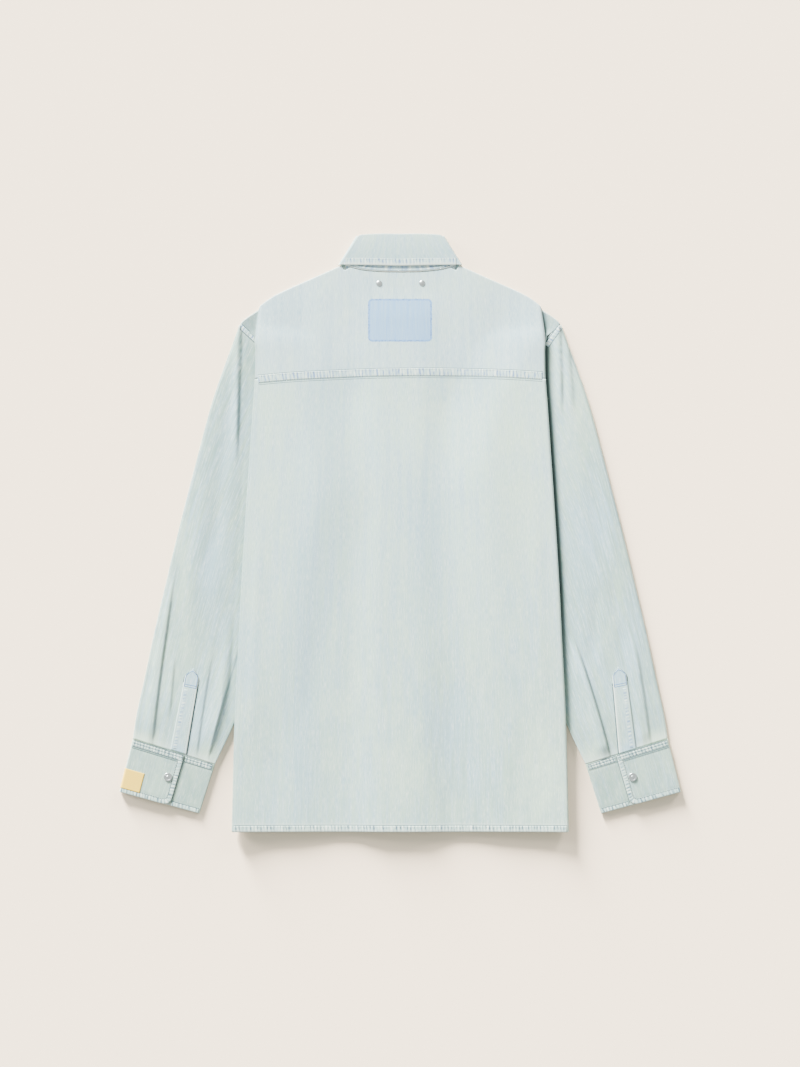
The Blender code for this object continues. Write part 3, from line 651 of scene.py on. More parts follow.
def denim(name, base=PALE, blueness=0.3, puckered=0.0, marks=SEAM_BLUE, patched=False, mapped_flat=False):
    """Bleached denim.

    Its attributes are tint, above 0 bluer and below 0 creamier, dusk, a darker, greener tone that is partly
    painted shade on turns and beside the body, wear, the white of its edges, and deep, painted shade in
    crevices, beside folds and at the feet of tucks. puckered is how strong a seam's marks are, and marks is
    their colour. mapped_flat reads the weave from above, for a piece with no cloth map.
    """
    settings = {"Specular IOR Level": 0.2, "Sheen Weight": 0.12, "Sheen Roughness": 0.5}
    finish, nodes, shader = new_finish(name, settings)
    times, less, stretch = nodes.times, nodes.less, nodes.stretch
    ground = nodes.add("ShaderNodeTexCoord", {})["Object"]
    place = ground if mapped_flat else nodes.add("ShaderNodeUVMap", {}, uv_map="cloth")[0]
    weave, bleach = nodes.group(WEAVE, place), nodes.group(BLEACH, ground)
    kinds = ("tint", "dusk", "pucker", "wear", "deep")
    masks = {kind: nodes.add("ShaderNodeAttribute", {}, attribute_name=kind)["Fac"] for kind in kinds}

    bluer = times(bleach["Blotch"], -0.35, nodes.maths("ADD", masks["tint"], blueness))
    bluer = times(weave["Slub"], 0.5, less(times(weave["Band"], 0.5, bluer), 0.4), clamp=True)
    creamier = times(bleach["Fleck"], 0.3, times(masks["tint"], -1.0))
    creamier = less(creamier, times(bluer, 0.3), clamp=True)
    # The darker, greener tone, which partly is painted shade.
    layers = [(masks["dusk"], DARK_TONE_AND_SHADE), (bluer, BLUE), (creamier, CREAM)]
    layers.append((times(times(weave["Thread"], weave["Slub"]), 0.55), WHITE))
    layers.append((times(less(1.0, weave["Thread"]), 0.33), SHADE_THREAD))
    if patched:
        patch = nodes.group(PATCH, ground)
        layers.append((times(patch["Inside"], times(weave["Slub"], -0.3, 0.95)), PATCH_BLUE))
        layers += [(times(patch["Rim"], 0.6), PATCH_RIM), (times(patch["Holes"], 0.5), PATCH_HOLE)]
    if puckered:
        uneven = nodes.noise(nodes.mapped(place, (290, 70, 1)), 1.0, 2.0, 0.6)
        uneven = times(masks["pucker"], 0.45, times(uneven, 1.5, -0.5))
        layers.append((stretch(uneven, 0.5, 0.15, 0.0, puckered), marks))
        layers.append((stretch(uneven, 0.5, 0.9, 0.0, puckered), WHITE))
    # Wear whitens, and painted shade darkens crevices, turns and the feet of tucks.
    layers += [(times(masks["wear"], 0.75, clamp=True), WHITE), (masks["deep"], PAINTED_CREVICE_SHADE)]
    colour = base
    for share, over in layers:
        colour = nodes.blend(share, colour, over)
    nodes.join(colour, shader["Base Color"])
    links = {"Height": weave["Height"], "Strength": 0.35, "Distance": 0.35 * MM}
    nodes.join(nodes.add("ShaderNodeBump", links)[0], shader["Normal"])
    nodes.join(stretch(weave["Slub"], 0, 1, 0.84, 0.96), shader["Roughness"])
    return finish


def plain(name, colour, roughness, metallic=0.0, grain=0.0, grain_scale=900.0):
    """A finish whose roughness and colour vary a little with a fine grain."""
    finish, nodes, shader = new_finish(name, {"Metallic": metallic})
    ground = nodes.add("ShaderNodeTexCoord", {})["Object"]
    speckle = nodes.noise(ground, grain_scale, 3.0, 0.6)
    darker = tuple(0.72 * c for c in colour[:3]) + (1.0,)
    mixed = nodes.blend(nodes.stretch(speckle, 0.35, 0.75, 0, grain), colour, darker)
    nodes.join(mixed, shader["Base Color"])
    rougher = nodes.stretch(speckle, 0.3, 0.7, roughness * 0.85, min(1, roughness * 1.2))
    nodes.join(rougher, shader["Roughness"])
    return finish


DENIM_BACK = denim("bleached_denim")
DENIM_YOKE = denim("bleached_denim_yoke", YOKE_PALE, patched=True)
DENIM_TRIM = denim("bluish_denim_trim", blueness=0.35)
DENIM_CUFF = denim("dull_cuff_denim", blueness=0.18)
SEAM_CLOTH = denim("puckered_seam_denim", puckered=0.95)
DULL_SEAM_CLOTH = denim("puckered_hem_denim", HEM_PALE, 0.1, 1.0, SEAM_GREY)
BLUE_SEAM_CLOTH = denim("blue_puckered_seam_denim", BLUISH_PALE, 0.35, 0.85, COLUMN_BLUE)
THREAD = plain("bleached_thread", linear(236, 238, 226), 0.85, grain=0.3)
# Painted shade for the grooves of seams, grey and, on the placket's box, blue.
SEAM_SHADE = plain("painted_seam_shade", linear(92, 112, 118), 0.95, grain=0.5, grain_scale=420.0)
BLUE_SEAM_SHADE = plain("painted_blue_seam_shade", linear(96, 128, 176), 0.95, grain=0.5, grain_scale=420.0)
METAL = plain("worn_silver_snap", linear(214, 216, 216), 0.3, metallic=1.0, grain=0.5)
LABEL = plain("cream_woven_tape", (1.0, 0.62, 0.07, 1.0), 0.9, grain=0.1, grain_scale=1400.0)


# The body.

HALF_COLUMNS = places((0, 1, 76), (1, 2, 8), (2, 3, 5))  # the top, the turn and what lies under it
COLUMNS = np.concatenate([-HALF_COLUMNS[::-1], HALF_COLUMNS[1:]])

# Soft oval patches of colour, as x, y, reach_x, reach_y, amount: above 0 bluer, below 0 creamier. On the
# sleeves x is away from the middle.
TINTS = (
    (-118, 40, 24, 150, 0.24), (-130, -230, 22, 150, 0.3), (-85, 110, 20, 110, 0.14),
    (30, -20, 24, 90, 0.26), (66, -270, 38, 60, 0.4), (102, -330, 28, 38, 0.16),
    (150, 130, 36, 70, -0.34), (170, 20, 30, 70, -0.26), (10, 160, 60, 40, -0.14),
    (-180, 120, 20, 120, -0.12), (10, -330, 34, 40, -0.26), (20, -260, 220, 130, -0.14),
    (190, -330, 30, 80, -0.36), (-160, 280, 40, 40, 0.26), (165, 262, 34, 40, 0.3),
    (60, 330, 70, 30, -0.1), (-170, 175, 30, 30, -0.2),
)
SLEEVE_TINTS = {
    "left": (
        (220, 190, 13, 70, 0.15), (238, 80, 14, 90, 0.08), (256, -50, 18, 70, 0.36),
        (300, -150, 26, 90, -0.1), (285, -60, 12, 120, -0.12), (268, -240, 14, 60, 0.25),
        (346, -280, 18, 12, -0.7), (258, -298, 14, 14, -0.5),
    ),
    "right": (
        (262, 0, 24, 70, 0.5), (240, 160, 20, 80, -0.25), (238, -130, 20, 90, 0.3),
        (312, -170, 16, 70, 0.3), (290, -80, 14, 80, -0.1), (310, -270, 12, 14, 0.6),
        (348, -278, 18, 12, -0.7), (256, -298, 14, 14, -0.4),
    ),
}


def tint_at(x, y, rows):
    return sum(amount * bell(x - px, rx) * bell(y - py, ry) for px, py, rx, ry, amount in rows)


def back_under(x, y):
    return height(2 * over_sleeve(x, y))


def turned_section(y, column, evenly=0.0):
    """Half a body's section at the height y: the top, half a turn round the fold, and back to the seam.

    evenly is 1 where what lies past the fold is only a turn.
    """
    edge = rim_x(y)
    rim, foot = back_surface(edge, y), back_under(edge, y)
    radius = np.maximum((rim - foot) / 2, PITCH / 2)
    angle = unit(column - 1) * math.pi * mix(1, 0.75, evenly)
    flap = unit(column - 2) * np.maximum(edge - seam_x(y), 0) * (1 - evenly)
    x = unit(column) * edge + radius * np.sin(angle) - flap
    z = np.where(column <= 1, back_surface(x, y), rim - radius + radius * np.cos(angle))
    return x, np.where(column > 2, z + back_under(x, y) - foot, z)


def yoke_seam_y(column):
    x, _ = turned_section(np.full_like(column, YOKE_SEAM_Y), column)
    return YOKE_SEAM_Y - YOKE_SEAM_FALL * (x / fold_x(YOKE_SEAM_Y)) ** 2


HEM_ROW_Y = HEM_Y + 10.5  # the worn line above the hem
LEFT_TURN_SHADE = 0.4


def make_back(sewn):
    """The back panel: rows from the hem to the yoke's seam."""
    rows = places((0, 1, 240))[:, None]
    column, side = np.abs(COLUMNS), np.sign(COLUMNS)
    y = mix(HEM_Y, yoke_seam_y(column) - GAP / 2, rows)
    x, z = turned_section(y, column)
    shown_x = side * x
    z = np.where(column <= 1, back_surface(shown_x, y), z)
    turn_wear = bell(column - 1.3, 0.3) * (side > 0) * 0.25
    wear = turn_wear + bell(y - HEM_Y, 2.0) * 0.6 + bell(y - HEM_ROW_Y, 1.2) * 0.4
    # Darker and greener towards the hem and the right side, and painted shade on both turned sides, stronger on
    # the right.
    dusk = 0.62 * fall(-380, 170, y) * mix(1, 1.5, shown_x / 400) + 0.3 * ease(1.2, 2, column)
    deep = np.where(side > 0, 0.6 * ease(1.2, 1.9, column), LEFT_TURN_SHADE * ease(0.97, 1.1, column))
    masks = {"wear": wear, "tint": tint_at(shown_x, y, TINTS), "dusk": dusk, "deep": deep}
    piece = cloth("back_panel", shown_x, y, z, DENIM_BACK, **masks)
    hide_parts("back")


# The yoke's rows: the crossing of the armhole's line, the shoulder's edge and its underside.
CROSSING_ROW, SHOULDER_ROW, ROLLED_ROW = 0.4, 0.8, 0.9
SHOULDER_LOW_LEVEL = 0.6  # how low the cloth lies just past the body's edge, by the shoulder


def yoke_section(y, column):
    """The yoke's section: turned under low down, and above the crossing a sharp step down past the edge."""
    turned_x, turned_z = turned_section(y, column, ease(225, 250, y))
    rim, foot = rim_x(y), fold_x(y) + 0.8
    end_x = np.maximum(seam_x(y) - ARMHOLE_GAP, foot + 2)
    rim_z = back_surface(rim, y)
    low_z = np.minimum(rim_z, height(mix(2, SHOULDER_LOW_LEVEL, ease(256, 274, y))))
    end_z = np.minimum(rim_z, height(mix(2, 1, ease(258, 272, y))))
    step, past = unit((column - 1) / 0.5), unit((column - 1.5) / 1.5)
    stepped_x = np.where(column <= 1, column * rim, mix(mix(rim, foot, step), end_x, past))
    fallen_z = mix(rim_z, low_z, ease(0, 1, step))
    stepped_z = np.where(column <= 1, turned_z, mix(fallen_z, end_z, ease(0, 1, past)))
    share = ease(251, 262, y)
    return mix(turned_x, stepped_x, share), mix(turned_z, stepped_z, share)


def make_yoke():
    """The yoke: rows from its seam up the back, over the shoulder's edge and down to its front seam."""
    lower_rows, upper_rows = (0, CROSSING_ROW, 26), (CROSSING_ROW, SHOULDER_ROW, 66)
    rows = places(lower_rows, upper_rows, (SHOULDER_ROW, ROLLED_ROW, 8), (ROLLED_ROW, 1, 8))[:, None]
    column, side = np.abs(COLUMNS), np.sign(COLUMNS)
    radius = PITCH / 2
    rim = rim_x(303.0)
    edge_x = np.where(column <= 1, column * rim, mix(rim, YOKE_END_X, (column - 1) / 2))
    flat_end = read(SHOULDER_ROWS, edge_x) - radius
    top_end = np.where(edge_x < NECK_HALF, np.minimum(flat_end, read(NECK_ROWS, edge_x)), flat_end)
    upper = unit((rows - CROSSING_ROW) / (SHOULDER_ROW - CROSSING_ROW))
    lower = mix(yoke_seam_y(column) + GAP / 2, CROSSING_Y, rows / CROSSING_ROW)
    y_top = np.where(rows < CROSSING_ROW, lower, mix(CROSSING_Y, top_end, upper))
    x, z = yoke_section(y_top, column)
    x = np.where(column <= 1, mix(x, edge_x, ease(0, SHOULDER_ROW, rows)), x)
    z = np.where(column <= 1, back_surface(side * x, y_top), z)
    angle = math.pi * unit((rows - SHOULDER_ROW) / (ROLLED_ROW - SHOULDER_ROW))
    past = unit((rows - ROLLED_ROW) / (1 - ROLLED_ROW))
    drop = mix(FRONT_SEAM_DROP, 8, ease(195, YOKE_END_X, edge_x)) - radius
    y = y_top + radius * np.sin(angle) - past * drop
    z = z - radius + radius * np.cos(angle)
    outer = mix(rim, seam_x(y) - ARMHOLE_GAP, (edge_x - rim) / (YOKE_END_X - rim))
    x = np.where((rows > ROLLED_ROW) & (column > 1), outer, x)
    keep = ~((rows[:-1] > SHOULDER_ROW - 0.001) & (edge_x[1:] < NECK_HALF))
    turn_wear = bell(column - 1.1, 0.12) * (rows > 0.2) * (side > 0) * 0.25
    wear = bell(rows - 0.84, 0.04) * (edge_x > NECK_HALF) * 0.5 + turn_wear
    # Painted shade: darker and greener where the yoke steps down past the body's edge, and dark on the right
    # side's step and on the left turn, below the shoulder.
    dusk = 0.75 * ease(1.1, 1.5, column)
    deep = np.where(side > 0, 0.9 * bell(column - 1.5, 0.3), LEFT_TURN_SHADE * ease(0.97, 1.1, column))
    deep = deep * (rows < SHOULDER_ROW)
    masks = {"wear": wear, "tint": tint_at(side * x, y, TINTS), "dusk": dusk, "deep": deep}
    piece = cloth("back_yoke_panel", side * x, y, z, DENIM_YOKE, keep=keep, **masks)
    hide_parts("back_yoke")


# The sleeves.


def sleeve_frame(along):
    """The sleeve's outer and inner edge at a share of its length."""
    outer_y = mix(OUTER_ROWS[-1][0], OUTER_ROWS[0][0] + GAP, along)
    inner_y = mix(UNDERARM_Y, INNER_ROWS[0][0] + GAP, along)
    return read(OUTER_ROWS, outer_y), outer_y, read(INNER_ROWS, inner_y), inner_y


def sleeve_plan(across, along):
    """A point of the sleeve seen flat. Near the armhole its rows bow to follow the armhole's line."""
    outer_x, outer_y, inner_x, inner_y = sleeve_frame(along)
    first_outer_x, first_outer_y, first_inner_x, first_inner_y = sleeve_frame(0.0)
    armhole_y = mix(first_outer_y, UNDERARM_Y, across)
    to_armhole_x = seam_x(armhole_y) + GAP - mix(first_outer_x, first_inner_x, across)
    to_armhole_y = armhole_y - mix(first_outer_y, first_inner_y, across)
    bow = fall(0, 0.45, along)
    x = mix(outer_x, inner_x, across) + bow * to_armhole_x
    return x, mix(outer_y, inner_y, across) + bow * to_armhole_y


def sleeve_surface(side_name, x, y):
    """The middle of the sleeve's upper wall, with x away from the shirt's middle."""
    edge = read(INNER_ROWS, y)
    inner = np.where(y > INNER_ROWS[0][0], np.maximum(fold_x(y) + 8, edge), edge)
    outer = read(OUTER_ROWS, y)
    share = unit((x - inner) / np.maximum(outer - inner, 1))
    width = unit((outer - inner) / 70)
    from_cuff = y - CUFF_OUTER_TOP[1] - 0.5 + (outer - x) * CUFF_SLOPE
    swell = SLEEVE_LOFT * width * np.sin(math.pi * share) ** 0.7 * ease(0, 60, from_cuff)
    for foot, top_x, top_y, step in PLEATS[side_name]:
        foot_x, foot_y = (mix(a, b, foot) for a, b in zip(CUFF_OUTER_TOP, CUFF_INNER_TOP))
        down = unit((top_y - y) / (top_y - foot_y))
        swell = swell + 0.5 * step * ease(0, 1, down) * bell(x - mix(top_x, foot_x, down), PLEAT_WIDTH)
    soft = sum(crease(x, y, *row) for row in SLEEVE_CREASES[side_name])
    inside = unit(share * (1 - share) * 12) * mix(0.1, 1, ease(0, 20, from_cuff))
    return height(1) + (swell + np.maximum(soft * inside, -swell)) * ease(0, 10, x - fold_x(y) - 3)


def sleeve_top(side_name):
    return lambda x, y: sleeve_surface(side_name, np.abs(x), y) + WALL / 2


BODY_SHADE = {"left": (0.15, 0.0), "right": (0.8, 0.2)}  # the painted shade beside the body, close to it and broadly
BODY_SHADE_REACH = (3.8, 11)


def make_sleeve(side_name, side, sewn):
    """A flattened tube: the upper wall, the outer turn, the lower wall and the inner turn."""
    loop = places((0, 1, 106), (1, 2, 8), (2, 3, 20), (3, 4, 8))
    rows = places((0, 1, 200))[:, None]
    outer_x, outer_y, inner_x, inner_y = sleeve_frame(rows)
    inset = PITCH / 2 / np.hypot(outer_x - inner_x, outer_y - inner_y)
    top_share = unit(loop) - unit(loop - 2)
    turn = math.pi * (unit(loop - 1) + unit(loop - 3))
    across = mix(inset, 1 - inset, top_share) + np.sin(turn) * inset
    x, y = sleeve_plan(across, rows)
    z = mix(height(0), sleeve_surface(side_name, x, y), 0.5 + 0.5 * np.cos(turn))
    wear = np.abs(np.sin(turn)) * 0.5 + bell(rows - 1, 0.02) * 0.4 + bell(rows, 0.012) * 0.4
    # A darker, greener tone, on the right sleeve more so towards the cuff, with painted shade towards the outer
    # edge, beside the body and at the feet of tucks.
    outer_shade = fall(0, 0.16, across)
    right_tone_and_shade = mix(0.38, 0.84, ease(0.1, 0.5, rows)) + 0.1 * outer_shade
    dusk = {"left": 0.9 + 0.3 * outer_shade, "right": right_tone_and_shade}[side_name]
    from_body = np.maximum(x - fold_x(y) - 2.5, 0)
    shades = zip(BODY_SHADE[side_name], BODY_SHADE_REACH)
    deep = mix(0.4, 1, ease(-300, -60, y)) * sum(shade * bell(from_body, reach) for shade, reach in shades)
    deep = unit(deep + tuck_foot_shades(x, y, SLEEVE_CREASES[side_name])) * (loop <= 1)
    masks = {"wear": wear, "tint": tint_at(x, y, SLEEVE_TINTS[side_name]), "dusk": dusk, "deep": deep}
    piece = cloth(f"sleeve_{side_name}_panel", side * x, y, z, DENIM_BACK, **masks)
    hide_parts(f"sleeve_{side_name}")


def placket_plan(side_name, along, across):
    """A point of the sleeve's placket: along from cuff to tip, across from -1, nearer the body, to 1."""
    tip_x, tip_y, foot_x, foot_y, top_width, foot_width = PLACKETS[side_name]
    half = mix(foot_width, top_width, along) / 2
    x = mix(foot_x, tip_x, along) + across * half
    return x, mix(foot_y, tip_y, along) + across * half * mix(CUFF_SLOPE, PLACKET_TOP_SLOPE, along)


def make_sleeve_placket(side_name, side, sewn):
    """A pointed band on the sleeve: rows run from the cuff to the tip."""
    tip_x, tip_y, foot_x, foot_y, _, _ = PLACKETS[side_name]
    point = PLACKET_POINT / math.hypot(foot_x - tip_x, foot_y - tip_y)
    rows = places((0, 1 - point, 80), (1 - point, 1, 14))[:, None]
    across = places((-1, 1, 16))
    x, y = placket_plan(side_name, rows, across * unit((1.002 - rows) / point))
    z = sleeve_surface(side_name, x, y) + WALL + GAP + 0.1 * (1 - across**4)
    wear = 0.9 * fall(-0.95, -0.7, across) + 0.5 * ease(0.8, 1, across)
    box = ease(0.77, 0.8, rows)
    tint = 0.05 + 0.7 * box * (1 - np.abs(across) ** 3) + 0.6 * bell(rows - 0.03, 0.07)
    name = f"sleeve_placket_{side_name}_band"
    piece = cloth(name, side * x, y, z, DENIM_TRIM, "seam_denim", wear=wear, tint=tint, dusk=0.4)
    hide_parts(f"sleeve_placket_{side_name}")


# The cuffs.


def cuff_plan(across, up):
    """A point of the flat cuff: across from its outer to its inner edge, up from its foot to the sleeve."""
    foot_x, foot_y = (mix(a, b, across) for a, b in zip(CUFF_OUTER_FOOT, CUFF_INNER_FOOT))
    top_x, top_y = (mix(a, b, across) for a, b in zip(CUFF_OUTER_TOP, CUFF_INNER_TOP))
    return mix(foot_x, top_x, up), mix(foot_y, top_y, up)


def make_cuff(side_name, side, sewn):
    """A strip from the upper lap round the outer edge, along below and round to the underlap."""
    run = places((0, 0.2, 14), (0.2, 1, 40), (1, 2, 10), (2, 3, 20), (3, 4, 8), (4, 5, 12))
    rows = places((0, 1, 56))[:, None]
    low = CUFF_WALL / 2
    big, small = PITCH, PITCH / 2  # the turns' radii at the outer and the inner edge
    outer, inner = big / CUFF_WIDTH, 1 - small / CUFF_WIDTH
    first_turn = math.pi * unit(run - 1)
    last_turn = math.pi * unit(run - 3)
    across = mix(CUFF_LAP, outer, unit(run)) - big / CUFF_WIDTH * np.sin(first_turn)
    across = across + (inner - outer) * unit(run - 2) + small / CUFF_WIDTH * np.sin(last_turn)
    across = across + (CUFF_UNDERLAP - inner) * unit(run - 4)
    z = low + big + big * np.cos(first_turn) + small - small * np.cos(last_turn)
    reach = unit((0.2 - run) / 0.2)
    corner = (1 - np.sqrt(1 - reach**2)) * CUFF_CORNER / CUFF_TALL
    up = mix(corner, 1, rows)
    x, y = cuff_plan(across, up)
    shown = (run <= 1) | (run >= 4)
    z = z - 0.22 * shown * (bell(up - 0.1, 0.025) + bell(up - 0.865, 0.025))
    wear = 0.8 * bell(up, 0.03) + 0.8 * bell(run, 0.02) + 0.6 * np.sin(first_turn)
    stained = -0.4 * bell(up - 1, 0.12) * (bell(across, 0.1) + bell(across - 1, 0.1))
    # Painted shade darkens the whole cuff, and more from the inner turn on along the underlap.
    masks = {"wear": wear, "tint": stained - 0.1, "dusk": 0.95, "deep": 0.11 + 0.1 * (run >= 3.5)}
    piece = cloth(f"cuff_{side_name}_band", side * x, y, z, DENIM_CUFF, "seam_denim", CUFF_WALL, **masks)
    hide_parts(f"cuff_{side_name}")


def make_label():
    """A blank woven label across the left cuff's lower outer corner, turned round its edge."""
    middle = CUFF_WALL / 2 + PITCH
    radius = PITCH + CUFF_WALL / 2 + LABEL_WALL / 2 + 0.1
    run = places((0, 1, 20), (1, 2, 10))
    up = LABEL_FOOT + places((0, 1, 24))[:, None] * LABEL_WIDTH / CUFF_TALL
    turn = math.pi / 2 * unit(run - 1)
    across = mix(LABEL_LENGTH / CUFF_WIDTH, PITCH / CUFF_WIDTH, unit(run))
    x, y = cuff_plan(across - radius / CUFF_WIDTH * np.sin(turn), up)
    z = middle + radius * np.cos(turn)
    piece = cloth("cuff_label_tape", -x, y, z, LABEL, "label_cream", LABEL_WALL)
    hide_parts("cuff_label")


# The collar.


def collar_stations(back, turn, front, back_level, front_level):
    """Stations round half a collar piece, as rows of roll_x, roll_y, edge_x, edge_y and z."""
    rows = [(*row, height(back_level)) for row in back]
    middle = height((back_level + front_level) / 2)
    radius = PITCH * (back_level - front_level) / 2
    for angle in np.linspace(0, math.pi, 5):
        inset = radius * (1 - math.sin(angle))
        shifts = (-inset, -0.2 * inset, -inset, 0.2 * inset)
        rows.append((*np.add(turn, shifts), middle + radius * math.cos(angle)))
    return np.array(rows + [(*row, height(front_level)) for row in front])


def collar_piece(name, stations, finish, slot, puffed):
    """A strip whose columns pass the stations of both halves and whose rows go from its edge to its roll."""
    last = len(stations) - 1
    at = places((-last, last, 16 * last))
    table = np.column_stack([np.arange(last + 1), stations])
    roll_x, roll_y, edge_x, edge_y, z = (read(table, np.abs(at), column) for column in range(1, 6))
    up = places((0, 1, 40))[:, None]
    side = np.where(at >= 0, 1, -1)
    puff = fall(4, 5, np.abs(at)) * puffed
    z = z + puff * np.sin(math.pi * unit((up - 0.2) / 0.8)) ** 0.8
    x, y = mix(edge_x, roll_x, up) * side, mix(edge_y, roll_y, up)
    wear = bell(up, 0.035) + 0.5 * bell(np.abs(at) - 6, 0.9) + 0.4 * ease(0.96, 1, up)
    pucker = 0.5 + 0.5 * np.sin(2 * math.pi * x / PUCKER_PERIOD)
    return cloth(name, x, y, z, finish, slot, wear=wear, tint=0.16 - 0.2 * up, pucker=pucker, dusk=0.2)


def make_collar(leaf_sewn, stand_sewn):
    leaf = collar_stations(LEAF_BACK, LEAF_CREASE, LEAF_FRONT, LEAF_LEVEL, 0)
    piece = collar_piece("collar_fall", leaf, DENIM_TRIM, "denim", 0.5)
    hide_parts("collar_leaf")
    stand = collar_stations(STAND_BACK, STAND_CREASE, STAND_FRONT, STAND_LEVEL, 1)
    piece = collar_piece("collar_band", stand, BLUE_SEAM_CLOTH, "seam_denim", 0.0)
    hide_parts("collar_stand")


# Sewing. Each function returns the pieces that it makes.

YOKE_BAND = (  # the middle of the felled seam between the back and the yoke
    (-190, 205.2), (-150, 208.8), (-100, 211.8), (-50, 213.8), (0, 214.8), (50, 215), (100, 214.2),
    (150, 212.2), (190, 209.7),
)
YOKE_BAND_HALF = 5.2
HEM_BAND_HALF = 4.2
HEM_BAND_UP = 4.3  # its middle, over the hem
FINE_LINE = 0.36


def sew_back():
    """The yoke's felled seam and the hem."""
    hem_end = rim_x(HEM_Y)
    hem = [(x, HEM_Y + HEM_BAND_UP) for x in (-hem_end, 0, hem_end)]
    on_band = raised(back_top, 0.35)
    bands = [
        seam_band("yoke_seam_fell", YOKE_BAND, YOKE_BAND_HALF, back_top, 0.42, 0.16, 1.0),
        seam_band("hem_fell", hem, HEM_BAND_HALF, back_top, 0.5, 0.16, 2.0, 0.6, DULL_SEAM_CLOTH),
    ]
    # Painted shade along the grooves beside the yoke's seam and above the hem.
    lines = [seam_shade_line(beside(YOKE_BAND, away), back_top, FINE_LINE) for away in (5.5, -5.5, -7.6)]
    lines.append(seam_shade_line(beside(hem, 4.7), raised(back_top, 0.05)))
    stitches = [stitch_row(beside(YOKE_BAND, away), on_band) for away in (3.9, -3.7)]
    stitches.append(stitch_row(beside(hem, 2.6), on_band))
    return bands + [merged("body_seam_lines", lines, SEAM_SHADE), merged("body_stitches", stitches, THREAD)]


ARMHOLES = {  # the middle of the armhole's visible seam
    "left": ((214.6, 277), (203.5, 266.8), (192.6, 256.7)),
    "right": ((214.8, 275.8), (205.5, 264), (196, 250.5)),
}
ARMHOLE_HALF = 3.0


def sew_sleeve(side_name, side):
    """The visible end of the armhole's seam."""
    top = sleeve_top(side_name)
    path = mirrored(ARMHOLES[side_name], side)
    name = f"armhole_{side_name}"
    # Painted shade along the grooves either side of the armhole's seam.
    lines = [seam_shade_line(beside(path, away), top, 0.6) for away in (3.3, -3.3)]
    return [
        seam_band(f"{name}_fell", path, ARMHOLE_HALF, top, 0.45, 0.16, 3.0 + side, white_edge=0.3),
        merged(f"{name}_lines", lines, SEAM_SHADE),
        merged(f"{name}_stitches", [stitch_row(path, raised(top, 0.4))], THREAD),
    ]


BAR_PLACES = (0.775, 0.8)  # the box's two closing lines, as shares of the placket's length
BOX_HALF = 0.84  # its sides, across the placket


def sew_placket(side_name, side):
    """The placket's edge, its pointed box and its bar, drawn as painted shade, and its puckered column and the
    row of stitches down it.
    """
    on_sleeve = raised(sleeve_top(side_name), 0.12)
    top = raised(sleeve_top(side_name), WALL + GAP + 0.14)

    def path(*points):
        return mirrored([placket_plan(side_name, along, across) for along, across in points], side)

    half_box = ((BAR_PLACES[0], BOX_HALF), (0.9, BOX_HALF), (0.925, 0.7), (0.965, 0.12))
    other_half = ((0.965, -0.12), (0.925, -0.7), (0.9, -BOX_HALF))
    box_edge = path((0.82, 1.07), (0.885, 1.07), (0.95, 0.5), (0.99, 0), (0.95, -0.5), (0.885, -1.07))
    blue = [path(*half_box, *other_half), path((0.9, -BOX_HALF), (BAR_PLACES[0], -BOX_HALF))]
    blue += [path((at, -BOX_HALF), (at, BOX_HALF)) for at in BAR_PLACES]
    outline = path((0, -1.08), (0.4, -1.08), (0.82, -1.08))
    column = path((0.02, 0.5), (0.35, 0.5), (0.74, 0.5))
    name = f"sleeve_placket_{side_name}"
    lines = [seam_shade_line(outline, on_sleeve, 0.75), seam_shade_line(box_edge, on_sleeve, 0.5)]
    stitches = [stitch_row(path((0, -0.62), (0.75, -0.62)), top)]
    return [
        seam_band(f"{name}_column", column, 2.4, top, 0.14, 0.05, 7.0 + side, 0, BLUE_SEAM_CLOTH),
        merged(f"{name}_box", [seam_shade_line(p, top, 0.45) for p in blue], BLUE_SEAM_SHADE),
        merged(f"{name}_lines", lines, SEAM_SHADE),
        merged(f"{name}_stitches", stitches, THREAD),
    ]


CUFF_EDGE_HALF, CUFF_JOIN_HALF = 2.9, 3.7
CUFF_EDGE_UP, CUFF_ROW_UP, CUFF_JOIN_UP = 0.045, 0.09, 0.94
ON_LAP, ON_UNDERLAP = (0.01, 0.625), (0.65, 0.985)  # where rows start and end across the cuff
LAP_EDGE, LAP_ROW = 0.603, 0.573  # the lap's turned edge and the row of stitches inside it


